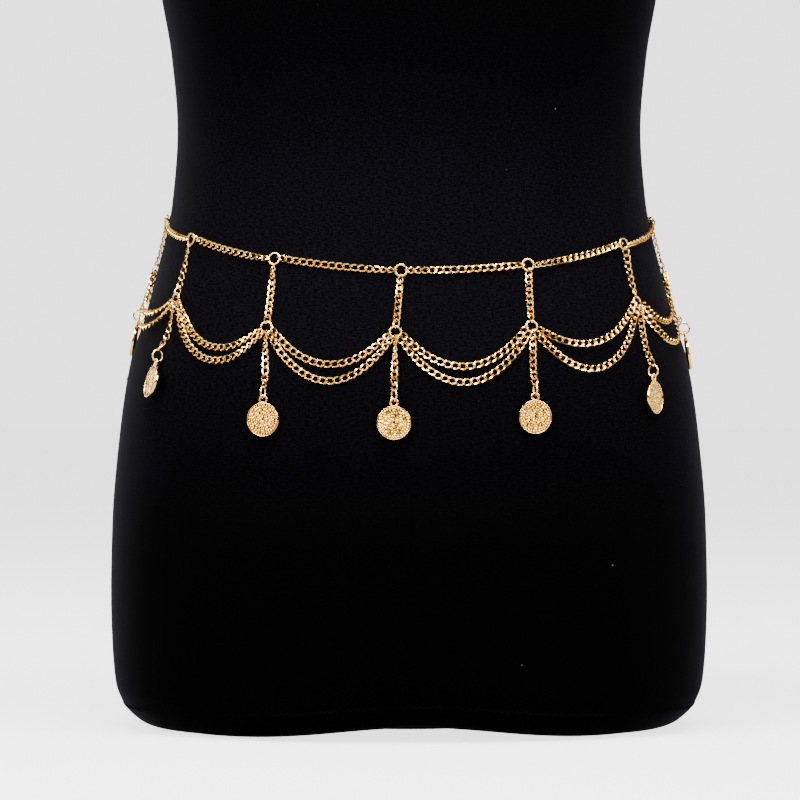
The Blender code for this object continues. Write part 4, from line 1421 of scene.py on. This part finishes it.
@dataclass(frozen=True)
class Softbox:
    """A rectangular studio light, by its place, its aim, its size in metres and its brightness."""

    name: str
    place: tuple[float, float, float]
    aim: tuple[float, float, float]
    size: tuple[float, float]
    brightness: float

    def build(self) -> None:
        """Makes the light. A lamp's power is brightness * area * pi."""
        lamp = bpy.data.lights.new(self.name, "AREA")
        lamp.shape = "RECTANGLE"
        lamp.size, lamp.size_y = self.size
        lamp.energy = self.brightness * self.size[0] * self.size[1] * math.pi
        light = bpy.data.objects.new(self.name, lamp)
        light.location = self.place
        light.rotation_mode = "QUATERNION"
        light.rotation_quaternion = (Vector(self.aim) - Vector(self.place)).to_track_quat("-Z", "Y")
        bpy.context.scene.collection.objects.link(light)


@dataclass
class Studio:
    """The pale floor, the soft lights and the level camera in front of the form."""

    # The camera looks level at the form from this far in front of its widest line.
    distance: float = 1.9
    camera_height: float = 0.175
    # The form's middle is nine pixels right of the photograph's, at this size of a pixel.
    pixel: float = 0.54 * MM
    axis_offset: float = 9.0
    width: int = 800
    sensor: float = 36.0
    floor_half: float = 20.0
    floor_lines: int = 9
    surroundings: float = 0.32
    backdrop: float = 2.5
    lights: tuple[Softbox, ...] = (
        Softbox("key_left", (-1.5, -1.6, 1.5), (0, 0, 0.25), (0.9, 1.3), 53.0),
        Softbox("fill_right", (1.7, -1.4, 1.2), (0, 0, 0.25), (0.8, 1.2), 38.0),
        Softbox("top", (0.0, -0.7, 2.1), (0, 0, 0.2), (1.6, 1.0), 47.0),
        Softbox("rim_left", (-1.6, 1.4, 0.6), (0, 0, 0.25), (0.8, 1.0), 15.0),
        Softbox("rim_right", (1.9, 0.9, 0.5), (0, 0, 0.25), (0.7, 1.0), 10.0),
    )

    def build(self) -> None:
        """Builds the floor, the lights, the world and the camera."""
        self.build_floor()
        for light in self.lights:
            light.build()
        world = bpy.data.worlds.new("studio")
        bpy.context.scene.world = world
        world.use_nodes = True
        tree = world.node_tree
        # The backdrop is lit on its own, brighter than what it sends back onto the form.
        seen = add_node(tree, "ShaderNodeLightPath").outputs["Is Camera Ray"]
        strength = maths(tree, "MULTIPLY_ADD", seen, self.backdrop - self.surroundings, self.surroundings)
        fill(tree, tree.nodes["Background"], {"Color": linear("#FFFFFF"), "Strength": strength})
        self.build_camera()

    def build_floor(self) -> None:
        """Builds the floor as a flat sheet."""
        half = self.floor_half / MM
        steps = np.linspace(-half, half, self.floor_lines)
        y, x = np.meshgrid(steps, steps, indexing="ij")
        sheet = Surface()
        sheet.add_grid(np.stack([x, y, np.zeros_like(x)], axis=-1), (False, False))
        floor = sheet.build("floor", PaperFloor().make())
        floor.data.flip_normals()

    def build_camera(self) -> None:
        """Builds the camera, whose lens gives the photograph's scale at the form's widest line."""
        data = bpy.data.cameras.new("camera")
        data.sensor_width = self.sensor
        data.lens = self.sensor * self.distance / (self.width * self.pixel)
        camera = bpy.data.objects.new("camera", data)
        camera.location = (-self.axis_offset * self.pixel, MIDDLE * MM - self.distance, self.camera_height)
        camera.rotation_euler = (math.pi / 2, 0.0, 0.0)
        bpy.context.scene.collection.objects.link(camera)
        bpy.context.scene.camera = camera


def main() -> None:
    """Builds the studio, the form and the chain, in that order."""
    logging.basicConfig(level=logging.INFO, format="%(message)s")
    Studio().build()
    form = Torso()
    stations = [Station(s[0], Place(*s[1:3]), Place(*s[3:5]), Place(*s[5:7]), *s[7:]) for s in STATIONS]
    gold = GoldPlate().make()
    stamped = GoldPlate(name="gold_plated_stamping", bright="#F9C34C", deep="#EBB146", roughness=(0.07, 0.13),
                        stamped=True).make()
    strung = (form, CurbChain(), np.random.default_rng(CHAIN_SEED), gold)
    DressForm(form).build(KnitCover().make())
    WaistLine(*strung, stations).build()
    Swags(*strung, stations).build()
    for station in stations:
        hanger = Hanger(*strung, station)
        hanger.build()
        Coin().build(hanger, stamped)
    Closure(*strung, stations[-1]).build()


if __name__ == "__main__":
    main()
